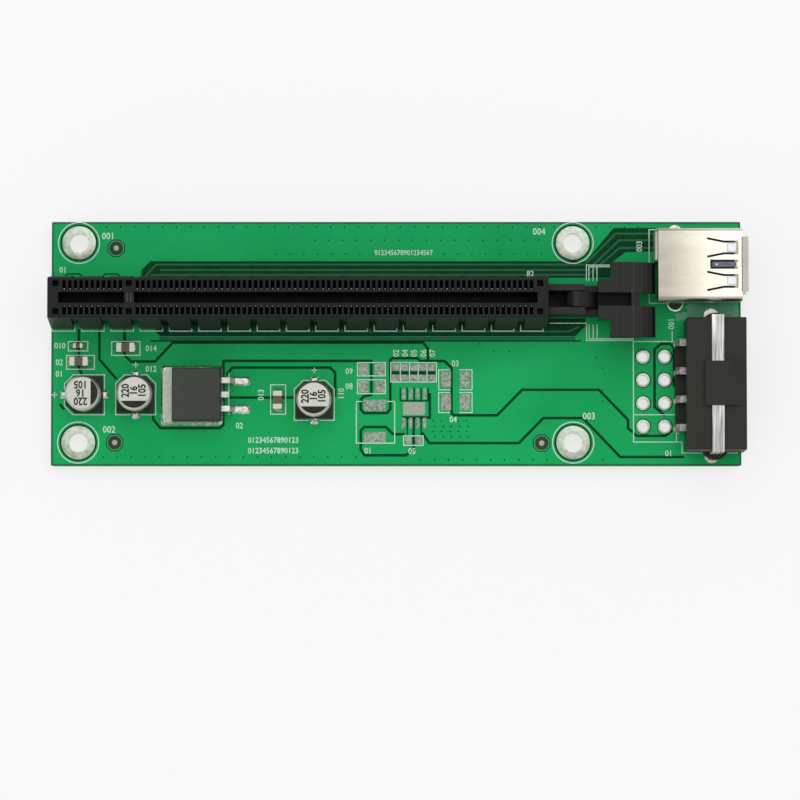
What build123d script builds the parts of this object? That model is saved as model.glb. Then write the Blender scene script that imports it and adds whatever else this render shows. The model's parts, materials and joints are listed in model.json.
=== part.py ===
from build123d import *
import os

# A riser board: a circuit board that carries a long edge-card slot with a press latch, a serial-bus
# socket, a four-pin power inlet, a voltage regulator and its capacitors.
# Millimetres. The origin is the centre of the four mounting holes, on the underside of the board.
# +X runs along the slot towards the sockets, +Z points up out of the slot.

# Circuit board
board_width = 44.0
board_center_y = -0.2
board_thickness = 1.6
board_corner_radius = 0.6
mounting_spacing_x = 88.9
mounting_spacing_y = 36.0
mounting_hole_diameter = 3.5
mounting_hole_from_left_edge = 4.9
pin_hole_clearance = 0.1
tail_drop = 1.5

# Spare holes for a second power plug
spare_rows = 4
spare_row_pitch = 4.2
spare_column_spacing = 3.9
spare_hole_diameter = 1.9
spare_from_right_edge = 15.65
spare_center_y = -8.85

# Card slot
slot_length = 89.0
slot_from_left_edge = 0.05
slot_center_y = 7.2
slot_height = 11.25
slot_wall_width = 7.2
slot_edge_chamfer = 0.3
skirt_count = 17
skirt_length = 4.05
skirt_width = 9.45
skirt_knee_height = 1.2
card_thickness = 1.57
card_clearance = 0.2
card_floor_height = 2.4
card_end_margin = 1.1
key_width = 1.75
key_top_drop = 0.5
peg_diameter = 2.3
peg_sides = 6
peg_from_slot_end = 9.0
end_pocket_size = 1.1
end_pocket_depth = 3.0
end_pocket_from_contact = 1.55

# Slot contacts
contacts_before_key = 11
contact_pitch = 1.0
contact_step_over_key = 3.0
contact_from_slot_end = 3.0
contact_width = 0.42
contact_thickness = 0.2
contact_root_y = 2.5
contact_bow_y = 0.62
contact_bow_height = 8.0
contact_tip_y = 1.55
contact_tip_drop = 0.7
pocket_clearance = 0.1
pocket_outer_y = 3.05

# Latch bracket at the end of the slot
rail_length = 6.65
rail_gap = 3.0
rail_width = 5.3
rail_height = 8.4
ear_length = 2.5
ear_height = 4.7
bracket_floor = 1.0

# Press latch
pivot_from_slot = 7.75
pivot_height = 3.2
pivot_diameter = 1.7
pivot_clearance = 0.06
hub_diameter = 3.0
latch_side_clearance = 0.15
latch_height = 8.0
latch_web_height = 5.4
latch_web_thickness = 1.5
latch_channel_width = 2.4
neck_width = 7.3
neck_from_pivot = 1.25
wing_span = 13.3
wing_from_pivot = 3.5
wing_step_from_pivot = 4.75
wing_step_depth = 0.35
wing_fold_from_pivot = 7.6
wing_end_from_pivot = 11.55
wing_end_height = 5.6
latch_to_socket = 0.5
wing_thickness = 1.5
wing_skirt_thickness = 0.9
wing_skirt_height = 4.3
cross_bar_length = 1.2
cross_bar_lap = 0.4
grip_rib_count = 4
grip_rib_size = 0.3
hook_tip_from_pivot = 4.2
hook_length = 1.0
hook_top_height = 8.6
hook_bottom_height = 7.0

# Serial-bus socket
usb_center_y = 13.5
usb_front_from_edge = 0.15
usb_length = 15.0
usb_width = 13.1
usb_height = 5.9
usb_standoff = 1.1
usb_sheet = 0.3
usb_corner_radius = 0.8
usb_lip_length = 1.05
usb_lip_flare = 0.55
usb_lip_inset = 1.6
usb_floor_cut = 4.4
usb_leg_from_rear = 3.35
usb_leg_width = 1.6
usb_spring_offset_y = 3.0
usb_spring_root_from_front = 6.3
usb_spring_length = 5.6
usb_spring_taper_length = 3.0
usb_spring_root_width = 2.9
usb_spring_tip_width = 1.7
usb_slit = 0.4
usb_tip_window = 0.6
usb_finger_length = 4.6
usb_finger_width = 0.85
usb_finger_from_front = 0.75
usb_finger_drop = 0.4
usb_block_length = 5.4
usb_tongue_side_gap = 1.0
usb_tongue_thickness = 1.8
usb_tongue_drop = 0.65
usb_tongue_recess = 1.3
usb_fit = 0.05
usb_wide_contact_offsets = (-3.5, -1.0, 1.0, 3.5)
usb_wide_contact_width = 1.0
usb_fine_contact_count = 5
usb_fine_contact_pitch = 2.0
usb_fine_contact_width = 0.6
usb_tail_width = 0.6
usb_contact_thickness = 0.25
usb_fine_contact_rise = 0.5
usb_front_row_from_rear = 2.6
usb_rear_row_from_rear = 1.1
usb_fine_contact_length = 3.0

# Power inlet
power_center_y = -8.0
power_overhang = 0.3
power_depth = 10.5
power_width = 23.6
power_height = 10.2
power_side_wall = 1.4
power_floor = 1.1
power_back_wall = 2.2
power_key_cut = 2.2
power_edge_chamfer = 0.4
power_pin_count = 4
power_pin_pitch = 5.08
power_pin_diameter = 2.1
power_pin_recess = 1.6
power_pin_taper = 0.9
power_pin_height = 4.9
power_tail_size = 1.25
power_tail_from_back = 1.1
power_comb_height = 2.4
power_bridge_width = 7.9
power_bridge_height = 0.9
power_bridge_from_front = 7.4
power_bridge_slope = 3.2
power_boss_radius = 2.4
power_boss_inset = 1.0
power_boss_height = 2.6
clip_width = 2.15
clip_thickness = 0.45
clip_from_front = 5.1
clip_tuck = 1.0
clip_leg_width = 1.4
clip_rib_depth = 0.15
clip_rib_width = 0.5

# Regulator
regulator_from_left_edge = 26.25
regulator_center_y = -9.5
regulator_length = 8.9
regulator_width = 9.7
regulator_height = 4.4
regulator_draft = 0.35
regulator_parting_height = 2.3
tab_thickness = 1.25
tab_overhang = 1.7
tab_width = 9.9
tab_corner = 0.7
tab_inside = 7.0
lead_pitch = 2.54
lead_width = 1.0
lead_thickness = 0.45
lead_reach = 4.5
lead_foot = 2.1
lead_bury = 1.0
stub_reach = 1.3

# Can capacitors: distance from the left edge, place across the board, turn of the positive side
can_places = ((6.0, -9.4, 180.0), (15.2, -9.4, 90.0), (47.3, -10.4, 90.0))
can_diameter = 6.3
can_height = 5.7
can_crimp_depth = 0.25
can_crimp_height = 1.9
can_edge = 0.35
can_base_size = 6.6
can_base_thickness = 0.9
can_base_cut = 1.5
can_tab_width = 0.9
can_tab_thickness = 0.2
can_tab_reach = 3.9
can_tab_root = 1.2

# Chip capacitors: distance from the left edge, place across the board, turn, length, width
chip_places = (
    (4.8, -0.6, 0.0, 1.6, 0.85),
    (5.0, -3.45, 0.0, 3.2, 1.6),
    (13.4, -0.95, 0.0, 3.2, 1.6),
    (40.7, -10.4, 90.0, 3.2, 1.6),
)
chip_end_share = 0.27
chip_skin = 0.04

# Places worked out from the sizes above
board_left = -mounting_spacing_x / 2 - mounting_hole_from_left_edge
board_top = board_thickness
tail_bottom = -tail_drop

slot_left = board_left + slot_from_left_edge
slot_right = slot_left + slot_length
slot_top = board_top + slot_height
card_gap = card_thickness + 2 * card_clearance
card_floor = board_top + card_floor_height
first_contact_x = slot_left + contact_from_slot_end
key_left_contact_x = first_contact_x + (contacts_before_key - 1) * contact_pitch
key_right_contact_x = key_left_contact_x + contact_step_over_key
room_after_key = slot_right - contact_from_slot_end - key_right_contact_x
contacts_after_key = round(room_after_key / contact_pitch) + 1
last_contact_x = key_right_contact_x + (contacts_after_key - 1) * contact_pitch
key_x = (key_left_contact_x + key_right_contact_x) / 2
pocket_width = contact_width + 2 * pocket_clearance

pivot_x = slot_right + pivot_from_slot
pivot_z = board_top + pivot_height

usb_rear = pivot_x + wing_end_from_pivot + latch_to_socket
usb_front = usb_rear + usb_length
board_right = usb_front + usb_front_from_edge
usb_bottom = board_top + usb_standoff
usb_top = usb_bottom + usb_height
usb_block_front = usb_rear + usb_block_length

power_front = board_right + power_overhang
power_rear = power_front - power_depth
power_top = board_top + power_height
power_pin_z = board_top + power_pin_height
power_tail_x = power_rear - power_tail_from_back
power_first_pin_y = power_center_y - (power_pin_count - 1) / 2 * power_pin_pitch
power_pin_places = [power_first_pin_y + index * power_pin_pitch for index in range(power_pin_count)]
clip_x = power_front - clip_from_front


def block(x0, x1, y0, y1, z0, z1):
    """A box between two opposite corners."""
    middle = Pos((x0 + x1) / 2, (y0 + y1) / 2, (z0 + z1) / 2)
    return middle * Box(x1 - x0, y1 - y0, z1 - z0)


def along_x(points, x0, x1):
    """A section drawn in (y, z) and pulled from x0 to x1."""
    plane = Plane(origin=(x0, 0, 0), x_dir=(0, 1, 0), z_dir=(1, 0, 0))
    return extrude(plane * Polygon(*points), amount=x1 - x0, dir=(1, 0, 0))


def along_y(points, y0, y1):
    """A section drawn in (x, z) and pulled from y0 to y1."""
    plane = Plane(origin=(0, y0, 0), x_dir=(1, 0, 0), z_dir=(0, -1, 0))
    return extrude(plane * Polygon(*points), amount=y1 - y0, dir=(0, 1, 0))


def along_z(points, z0, z1):
    """An outline drawn in (x, y) and pulled from z0 to z1."""
    return extrude(Pos(0, 0, z0) * Polygon(*points), amount=z1 - z0, dir=(0, 0, 1))


def rod_y(x, z, diameter, y0, y1):
    """A round rod along Y."""
    middle = Pos(x, (y0 + y1) / 2, z)
    return middle * Rot(90, 0, 0) * Cylinder(diameter / 2, y1 - y0)


def group(solids):
    """Separate solids kept together as one node."""
    return Compound(children=list(solids))


def contact_places():
    """The X of every slot contact, left to right."""
    before = [first_contact_x + index * contact_pitch for index in range(contacts_before_key)]
    after = [key_right_contact_x + index * contact_pitch for index in range(contacts_after_key)]
    return before + after


def usb_fine_places():
    """The Y of every fine contact of the socket."""
    first = usb_center_y - (usb_fine_contact_count - 1) / 2 * usb_fine_contact_pitch
    return [first + index * usb_fine_contact_pitch for index in range(usb_fine_contact_count)]


def usb_wide_places():
    """The Y of every wide contact of the socket."""
    return [usb_center_y + offset for offset in usb_wide_contact_offsets]


def spare_hole_places():
    """The centres of the empty plated holes."""
    center_x = board_right - spare_from_right_edge
    columns = [center_x - spare_column_spacing / 2, center_x + spare_column_spacing / 2]
    first = spare_center_y - (spare_rows - 1) / 2 * spare_row_pitch
    rows = [first + index * spare_row_pitch for index in range(spare_rows)]
    return [(x, y) for x in columns for y in rows]


def peg_places():
    """The X of the two locating pegs under the slot."""
    return [slot_left + peg_from_slot_end, slot_right - peg_from_slot_end]


def circuit_board():
    """The bare board with its mounting holes and a hole for every pin that goes through."""
    outline = RectangleRounded(board_right - board_left, board_width, board_corner_radius)
    sheet = Pos((board_left + board_right) / 2, board_center_y) * outline
    corners = GridLocations(mounting_spacing_x, mounting_spacing_y, 2, 2)
    holes = [place * Circle(mounting_hole_diameter / 2) for place in corners]
    holes += [Pos(x, y) * Circle(spare_hole_diameter / 2) for x, y in spare_hole_places()]
    holes += [Pos(x, slot_center_y) * Circle(peg_diameter / 2 + pin_hole_clearance) for x in peg_places()]

    room = 2 * pin_hole_clearance
    tail_hole = Rectangle(power_tail_size + room, power_tail_size + room)
    holes += [Pos(power_tail_x, y) * tail_hole for y in power_pin_places]
    leg_hole = Rectangle(clip_leg_width + room, clip_thickness + room)
    leg_offset = power_width / 2 + clip_thickness / 2
    holes += [Pos(clip_x, power_center_y + side * leg_offset) * leg_hole for side in (1, -1)]

    leg_slot = Rectangle(usb_leg_width + room, usb_sheet + room)
    leg_x = usb_rear + usb_leg_from_rear
    leg_offset = usb_width / 2 - usb_sheet / 2
    holes += [Pos(leg_x, usb_center_y + side * leg_offset) * leg_slot for side in (1, -1)]
    pin_slot = Rectangle(usb_contact_thickness + room, usb_tail_width + room)
    holes += [Pos(usb_rear + usb_rear_row_from_rear, y) * pin_slot for y in usb_fine_places()]
    holes += [Pos(usb_rear + usb_front_row_from_rear, y) * pin_slot for y in usb_wide_places()]
    return extrude(sheet - holes, amount=board_thickness)


def slot_wall(side):
    """One long wall of the slot, with its comb of contact pockets inside and its skirts outside."""
    gap, wall, edge = card_gap / 2, slot_wall_width / 2, slot_edge_chamfer
    section = [(gap, board_top), (wall, board_top), (wall, slot_top - edge), (wall - edge, slot_top)]
    section += [(gap, slot_top)]
    foot, knee_z = skirt_width / 2, board_top + skirt_knee_height
    skirt = [(wall, board_top), (foot, board_top), (foot, knee_z), (wall, slot_top - edge)]
    skirt_pitch = (slot_length - skirt_length) / (skirt_count - 1)
    skirt_starts = [slot_left + index * skirt_pitch for index in range(skirt_count)]
    body = along_x(section, slot_left, slot_right)
    body = body + [along_x(skirt, x, x + skirt_length) for x in skirt_starts]

    half = pocket_width / 2
    depth = (gap, pocket_outer_y)
    cuts = [block(x - half, x + half, *depth, card_floor, slot_top) for x in contact_places()]
    for start, end in ((first_contact_x, key_left_contact_x), (key_right_contact_x, last_contact_x)):
        cuts += [block(start - half, end + half, *depth, board_top, card_floor)]
    half = end_pocket_size / 2
    depth = (pocket_outer_y - end_pocket_size, pocket_outer_y)
    for x in (first_contact_x - end_pocket_from_contact, key_x, last_contact_x + end_pocket_from_contact):
        cuts += [block(x - half, x + half, *depth, slot_top - end_pocket_depth, slot_top)]
    north = body - cuts
    return Pos(0, slot_center_y, 0) * (north if side > 0 else mirror(north, about=Plane.XZ))


def slot_housing():
    """The core between the walls: end blocks, key, card floor, latch bracket and locating pegs."""
    gap = card_gap / 2
    card_left = first_contact_x - card_end_margin
    card_right = last_contact_x + card_end_margin
    key_left, key_right = key_x - key_width / 2, key_x + key_width / 2
    profile = [
        (slot_left, board_top), (slot_right, board_top), (slot_right, slot_top), (card_right, slot_top),
        (card_right, card_floor), (key_right, card_floor), (key_right, slot_top - key_top_drop),
        (key_left, slot_top - key_top_drop), (key_left, card_floor), (card_left, card_floor),
        (card_left, slot_top), (slot_left, slot_top),
    ]
    core = along_y(profile, -gap, gap)

    rails_end = slot_right + rail_length
    ears_end = rails_end + ear_length
    outer = rail_width / 2
    bracket = block(slot_right, ears_end, -outer, outer, board_top, board_top + ear_height)
    bracket = bracket + block(slot_right, rails_end, -outer, outer, board_top, board_top + rail_height)
    hollow = block(slot_right, ears_end, -rail_gap / 2, rail_gap / 2, board_top + bracket_floor, slot_top)
    pivot_hole = rod_y(pivot_x, pivot_z, pivot_diameter + 2 * pivot_clearance, -outer, outer)
    peg = Pos(0, 0, tail_bottom) * RegularPolygon(peg_diameter / 2, peg_sides)
    pegs = [Pos(x, 0, 0) * extrude(peg, amount=board_top - tail_bottom) for x in peg_places()]
    return Pos(0, slot_center_y, 0) * (core + (bracket - hollow - pivot_hole) + pegs)


def slot_contacts(side):
    """One row of bowed spring contacts, standing on the board in their pockets."""
    half = contact_thickness / 2
    line = [
        (contact_root_y, board_top),
        (contact_bow_y, board_top + contact_bow_height),
        (contact_tip_y, slot_top - contact_tip_drop),
    ]
    strip = [(y - half, z) for y, z in line] + [(y + half, z) for y, z in reversed(line[:-1])]
    strip = [(slot_center_y + side * y, z) for y, z in strip]
    return group(along_x(strip, x - contact_width / 2, x + contact_width / 2) for x in contact_places())


def slot_latch():
    """The press latch: hub and trunnions, hook, neck and two grip wings on a shared web."""
    web_half = rail_gap / 2 - latch_side_clearance
    channel_half = latch_channel_width / 2
    top = board_top + latch_height
    web_top = board_top + latch_web_height
    web_bottom = web_top - latch_web_thickness
    fold_x = pivot_x + wing_fold_from_pivot
    end_x = pivot_x + wing_end_from_pivot
    step_x = pivot_x + wing_step_from_pivot
    end_z = board_top + wing_end_height
    neck_x = pivot_x + neck_from_pivot
    wing_x = pivot_x + wing_from_pivot

    hub = rod_y(pivot_x, pivot_z, hub_diameter, -web_half, web_half)
    trunnion_half = rail_width / 2 - latch_side_clearance
    pins = rod_y(pivot_x, pivot_z, pivot_diameter, -trunnion_half, trunnion_half)
    hub_r = hub_diameter / 2
    hook_x = pivot_x - hook_tip_from_pivot
    arm = [
        (pivot_x - hub_r, pivot_z), (pivot_x + hub_r, pivot_z), (fold_x, web_bottom), (fold_x, web_top),
        (neck_x, web_top), (hook_x + 2 * hook_length, board_top + hook_top_height),
        (hook_x + hook_length, board_top + hook_top_height), (hook_x, board_top + hook_bottom_height),
        (hook_x + hook_length, board_top + hook_bottom_height),
    ]
    latch = hub + pins + along_y(arm, -web_half, web_half)

    step = wing_step_depth
    slope = (top - step - end_z) / (end_x - fold_x)
    face = [(wing_x, top), (step_x, top), (step_x, top - step), (fold_x, top - step)]
    for index in range(1, grip_rib_count + 1):
        rib_x = fold_x + (end_x - fold_x) * index / (grip_rib_count + 1)
        rib_foot = top - step - slope * (rib_x - fold_x)
        face += [(rib_x, rib_foot + grip_rib_size), (rib_x, rib_foot)]
    face += [(end_x, end_z)]
    low = top - step - wing_thickness
    back = [(end_x, end_z - wing_thickness), (fold_x, low), (wing_x, low)]
    rim = [(end_x, board_top + wing_skirt_height), (wing_x, board_top + wing_skirt_height)]
    neck = [(neck_x, web_top), (fold_x, web_top), (fold_x, top - step), (step_x, top - step)]
    neck += [(step_x, top), (neck_x, top)]
    for side in (1, -1):
        inner, shoulder, outer = (side * value for value in (channel_half, neck_width / 2, wing_span / 2))
        latch = latch + along_y(face + back, *sorted((inner, outer)))
        latch = latch + along_y(face + rim, *sorted((outer - side * wing_skirt_thickness, outer)))
        latch = latch + along_y(neck, *sorted((inner, shoulder)))

    bar_start, bar_end = fold_x - cross_bar_lap, fold_x + cross_bar_length
    bar = [(bar_start, web_bottom), (bar_end, web_bottom), (bar_end, top - step - slope * cross_bar_length)]
    bar += [(fold_x, top - step), (bar_start, top - step)]
    latch = latch + along_y(bar, -channel_half, channel_half)
    return Pos(0, slot_center_y, 0) * latch


def usb_shell():
    """The folded sheet shell with front lips, board legs and spring fingers cut in its top."""
    middle = (usb_rear, usb_center_y, (usb_bottom + usb_top) / 2)
    plane = Plane(origin=middle, x_dir=(0, 1, 0), z_dir=(1, 0, 0))
    inner_width = usb_width - 2 * usb_sheet
    inner_height = usb_height - 2 * usb_sheet
    ring = RectangleRounded(usb_width, usb_height, usb_corner_radius)
    ring = ring - RectangleRounded(inner_width, inner_height, usb_corner_radius - usb_sheet)
    shell = extrude(plane * ring, amount=usb_length)

    lip_x = usb_front + usb_lip_length
    flare = usb_lip_flare
    half_span = usb_width / 2 - usb_lip_inset
    y0, y1 = usb_center_y - half_span, usb_center_y + half_span
    for edge, out in ((usb_top, 1), (usb_bottom, -1)):
        inside = edge - out * usb_sheet
        lip = [(usb_front, edge), (lip_x, edge + out * flare)]
        lip += [(lip_x, inside + out * flare), (usb_front, inside)]
        shell = shell + along_y(lip, y0, y1)

    leg_x = usb_rear + usb_leg_from_rear
    leg_top = usb_bottom + usb_corner_radius
    for side in (1, -1):
        outer = usb_center_y + side * usb_width / 2
        wall = sorted((outer, outer - side * usb_sheet))
        half = usb_leg_width / 2
        shell = shell + block(leg_x - half, leg_x + half, *wall, tail_bottom, leg_top)

    sheet = (usb_top - usb_sheet, usb_top)
    root_x = usb_front - usb_spring_root_from_front
    knee_x = root_x + usb_spring_taper_length
    tip_x = root_x + usb_spring_length
    root, tip = usb_spring_root_width / 2, usb_spring_tip_width / 2
    inner = [(root_x, root), (knee_x, tip), (tip_x - usb_tip_window, tip)]
    outer = [(tip_x, tip + usb_slit), (knee_x, tip + usb_slit), (root_x, root + usb_slit)]
    mirrored = [(x, -y) for x, y in reversed(outer + inner)]
    slit = along_z(inner + mirrored + outer, *sheet)
    cuts = [Pos(0, usb_center_y + side * usb_spring_offset_y, 0) * slit for side in (1, -1)]

    finger_front = usb_front - usb_finger_from_front
    finger_rear = finger_front - usb_finger_length
    half = usb_finger_width / 2
    y0, y1 = usb_center_y - half, usb_center_y + half
    cuts += [block(finger_rear - usb_slit, finger_front, y0 - usb_slit, y1 + usb_slit, *sheet)]
    finger = [(finger_front, usb_top), (finger_rear, usb_top - usb_finger_drop)]
    finger += [(finger_rear, usb_top - usb_sheet - usb_finger_drop), (finger_front, usb_top - usb_sheet)]
    open_half = usb_width / 2 - usb_corner_radius
    open_y = (usb_center_y - open_half, usb_center_y + open_half)
    cuts += [block(usb_rear, usb_rear + usb_floor_cut, *open_y, usb_bottom, usb_bottom + usb_sheet)]
    return shell - cuts + along_y(finger, y0, y1)


def usb_tongue_bottom():
    """The height of the contact side of the socket's tongue."""
    return usb_top - usb_sheet - usb_tongue_drop - usb_tongue_thickness


def usb_contact(y, width, row_x, front_x, rise):
    """A flat contact let into the tongue, with a tail through the board."""
    z = usb_tongue_bottom() + rise
    tail_half = usb_tail_width / 2
    top = z + usb_contact_thickness
    half = usb_contact_thickness / 2
    strip = block(row_x, front_x, y - width / 2, y + width / 2, z, top)
    tail = block(row_x - half, row_x + half, y - tail_half, y + tail_half, tail_bottom, top)
    return strip + tail


def usb_wide_contacts():
    """The wide contacts that run along the tongue."""
    row_x = usb_rear + usb_front_row_from_rear
    front_x = usb_front - usb_tongue_recess - usb_lip_length
    return group(usb_contact(y, usb_wide_contact_width, row_x, front_x, 0) for y in usb_wide_places())


def usb_fine_contacts():
    """The fine contacts that show just ahead of the socket's back block."""
    row_x = usb_rear + usb_rear_row_from_rear
    front_x = usb_block_front + usb_fine_contact_length
    width, rise = usb_fine_contact_width, usb_fine_contact_rise
    return group(usb_contact(y, width, row_x, front_x, rise) for y in usb_fine_places())


def usb_insulator():
    """The moulded back block and tongue, with the contacts set in it."""
    side = usb_width / 2 - usb_sheet - usb_fit
    y0, y1 = usb_center_y - side, usb_center_y + side
    z0, z1 = usb_bottom + usb_sheet + usb_fit, usb_top - usb_sheet - usb_fit
    corner = usb_corner_radius - usb_sheet
    back = block(usb_rear, usb_block_front, y0, y1, z0, z1)
    back = chamfer(back.edges().filter_by(Axis.X), corner)
    half = usb_width / 2 - usb_tongue_side_gap
    z = usb_tongue_bottom()
    front = usb_front - usb_tongue_recess
    y0, y1 = usb_center_y - half, usb_center_y + half
    tongue = block(usb_rear, front, y0, y1, z, z + usb_tongue_thickness)
    return back + tongue - [*usb_wide_contacts().solids(), *usb_fine_contacts().solids()]


def power_pin(y):
    """A round pin with a tapered nose and a square tail bent down into the board."""
    radius = power_pin_diameter / 2
    nose_x = power_front - power_pin_recess
    seat_x = power_rear + power_back_wall
    shank = [
        (seat_x, 0), (seat_x, radius), (nose_x - power_pin_taper, radius),
        (nose_x, radius / 2), (nose_x, 0),
    ]
    round_pin = revolve(Plane.XZ * Polygon(*shank), Axis.X)
    half = power_tail_size / 2
    elbow = [
        (seat_x, power_pin_z + half), (power_tail_x, power_pin_z + half),
        (power_tail_x - half, power_pin_z), (power_tail_x - half, tail_bottom),
        (power_tail_x + half, tail_bottom), (power_tail_x + half, power_pin_z - half),
        (seat_x, power_pin_z - half),
    ]
    return Pos(0, y, power_pin_z) * round_pin + along_y(elbow, y - half, y + half)


def power_clip(side):
    """A hold-down strap: over the top of the inlet, down its end wall and through the board."""
    wall = power_center_y + side * power_width / 2
    outer = wall + side * clip_thickness
    bridge = power_center_y + side * (power_bridge_width / 2 - clip_tuck)
    strap = [(bridge, power_top), (wall, power_top), (wall, board_top), (outer, board_top)]
    strap += [(outer, power_top + clip_thickness), (bridge, power_top + clip_thickness)]
    clip = along_x(strap, clip_x - clip_width / 2, clip_x + clip_width / 2)
    y0, y1 = sorted((wall, outer))
    half = clip_leg_width / 2
    leg = block(clip_x - half, clip_x + half, y0, y1, tail_bottom, board_top)
    bead_top = power_top + clip_thickness + clip_rib_depth
    y0, y1 = sorted((bridge, wall))
    half = clip_rib_width / 2
    bead = block(clip_x - half, clip_x + half, y0, y1, power_top + clip_thickness, bead_top)
    return clip + leg + bead


def power_housing():
    """The shrouded inlet with keyed corners, clip bridge, end bosses and a comb behind its pins."""
    half = power_width / 2
    y0, y1 = power_center_y - half, power_center_y + half
    shell = block(power_rear, power_front, y0, y1, board_top, power_top)
    shell = chamfer(shell.edges().filter_by(Axis.X).group_by(Axis.Z)[-1], power_edge_chamfer)

    cut = power_key_cut
    left, right = y0 + power_side_wall, y1 - power_side_wall
    low, high = board_top + power_floor, power_top - power_floor
    mouth = [
        (left, low), (right, low), (right, high - cut), (right - cut, high),
        (left + cut, high), (left, high - cut),
    ]
    shell = shell - along_x(mouth, power_rear + power_back_wall, power_front)

    bridge_half = power_bridge_width / 2
    rise = power_top + power_bridge_height
    ramp = [
        (power_front - power_bridge_from_front, power_top), (power_front, power_top),
        (power_front - power_bridge_slope, rise), (power_front - power_bridge_from_front, rise),
    ]
    shell = shell + along_y(ramp, power_center_y - bridge_half, power_center_y + bridge_half)

    boss_z = board_top + power_boss_height / 2
    for y in (y0 + power_boss_inset, y1 - power_boss_inset):
        shell = shell + Pos(clip_x, y, boss_z) * Cylinder(power_boss_radius, power_boss_height)
    shell = shell - block(power_rear + power_back_wall, power_front, left, right, low, high - cut)

    comb_rear = power_tail_x - power_tail_size / 2
    comb_half = (power_pin_pitch - power_tail_size) / 2 - pin_hole_clearance
    for index in range(power_pin_count - 1):
        y = (power_pin_places[index] + power_pin_places[index + 1]) / 2
        comb_top = board_top + power_comb_height
        shell = shell + block(comb_rear, power_rear, y - comb_half, y + comb_half, board_top, comb_top)
    fitted = [power_pin(y) for y in power_pin_places] + [power_clip(1), power_clip(-1)]
    return shell - fitted


def regulator_x():
    """The middle of the regulator's mould."""
    return board_left + regulator_from_left_edge


def regulator_tab():
    """The heat tab under the mould with its cut-short middle lead."""
    left = regulator_x() - regulator_length / 2
    half = tab_width / 2
    cut = tab_corner
    outline = [
        (left - tab_overhang, half - cut), (left - tab_overhang + cut, half), (left + tab_inside, half),
        (left + tab_inside, -half), (left - tab_overhang + cut, -half), (left - tab_overhang, cut - half),
    ]
    return Pos(0, regulator_center_y, 0) * along_z(outline, board_top, board_top + tab_thickness)


def regulator_leads():
    """Two outer leads bent down to the board and the middle lead, cut short."""
    right = regulator_x() + regulator_length / 2
    root = right - lead_bury
    high = board_top + regulator_parting_height
    low = high - lead_thickness
    foot_x = right + lead_reach - lead_foot
    foot_top = board_top + lead_thickness
    bend_x = foot_x - lead_thickness
    shaped = [
        (root, high), (bend_x - lead_thickness, high), (foot_x, foot_top), (right + lead_reach, foot_top),
        (right + lead_reach, board_top), (foot_x - lead_thickness, board_top),
        (bend_x - 2 * lead_thickness, low), (root, low),
    ]
    straight = [(root, low), (right + stub_reach, low), (right + stub_reach, high), (root, high)]
    solids = []
    for step, line in ((-1, shaped), (0, straight), (1, shaped)):
        y = regulator_center_y + step * lead_pitch
        solids += [along_y(line, y - lead_width / 2, y + lead_width / 2)]
    return group(solids)


def regulator_mould():
    """The moulded block, drafted both ways from its parting line."""
    x, y, d = regulator_x(), regulator_center_y, regulator_draft
    middle = Rectangle(regulator_length, regulator_width)
    face = Rectangle(regulator_length - 2 * d, regulator_width - 2 * d)
    lower = loft([Pos(0, 0, 0) * face, Pos(0, 0, regulator_parting_height) * middle])
    upper = loft([Pos(0, 0, regulator_parting_height) * middle, Pos(0, 0, regulator_height) * face])
    mould = Pos(x, y, board_top) * (lower + upper)
    return mould - [regulator_tab(), *regulator_leads().solids()]


def can_place(index):
    """Where a can capacitor stands, turned so that its positive tab points along local +X."""
    x, y, turn = can_places[index]
    return Pos(board_left + x, y, board_top) * Rot(0, 0, turn)


def can_tabs(index):
    """The two flat solder tabs under a can."""
    half = can_tab_width / 2
    tabs = []
    for side in (1, -1):
        x0, x1 = sorted((side * can_tab_root, side * can_tab_reach))
        tabs += [can_place(index) * block(x0, x1, -half, half, 0, can_tab_thickness)]
    return group(tabs)


def can_base(index):
    """The square foot of a can, with the two corners on its positive side cut off."""
    half = can_base_size / 2
    cut = can_base_cut
    outline = [
        (-half, -half), (half - cut, -half), (half, cut - half),
        (half, half - cut), (half - cut, half), (-half, half),
    ]
    return can_place(index) * along_z(outline, 0, can_base_thickness) - can_tabs(index).solids()


def can_body(index):
    """The drawn can with its crimp line and rolled top edge."""
    r = can_diameter / 2
    dent = r - can_crimp_depth
    z0, z1 = can_base_thickness, can_height
    crimp = can_crimp_height
    section = [
        (0, z0), (r, z0), (dent, crimp), (r, crimp + can_crimp_depth),
        (r, z1 - can_edge), (r - can_edge, z1), (0, z1),
    ]
    return can_place(index) * revolve(Plane.XZ * Polygon(*section), Axis.Z)


def chip_place(index):
    """Where a chip capacitor lies, with its length along local X."""
    x, y, turn = chip_places[index][:3]
    return Pos(board_left + x, y, board_top) * Rot(0, 0, turn)


def chip_ends(index):
    """The two metal end caps of a chip capacitor."""
    length, width = chip_places[index][3:]
    end = length * chip_end_share
    ends = []
    for side in (1, -1):
        x0, x1 = sorted((side * length / 2, side * (length / 2 - end)))
        ends += [chip_place(index) * block(x0, x1, -width / 2, width / 2, 0, width)]
    return group(ends)


def chip_body(index):
    """The ceramic between the end caps."""
    length, width = chip_places[index][3:]
    half_length = length / 2 - length * chip_end_share
    half = width / 2 - chip_skin
    return chip_place(index) * block(-half_length, half_length, -half, half, chip_skin, width - chip_skin)


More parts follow.
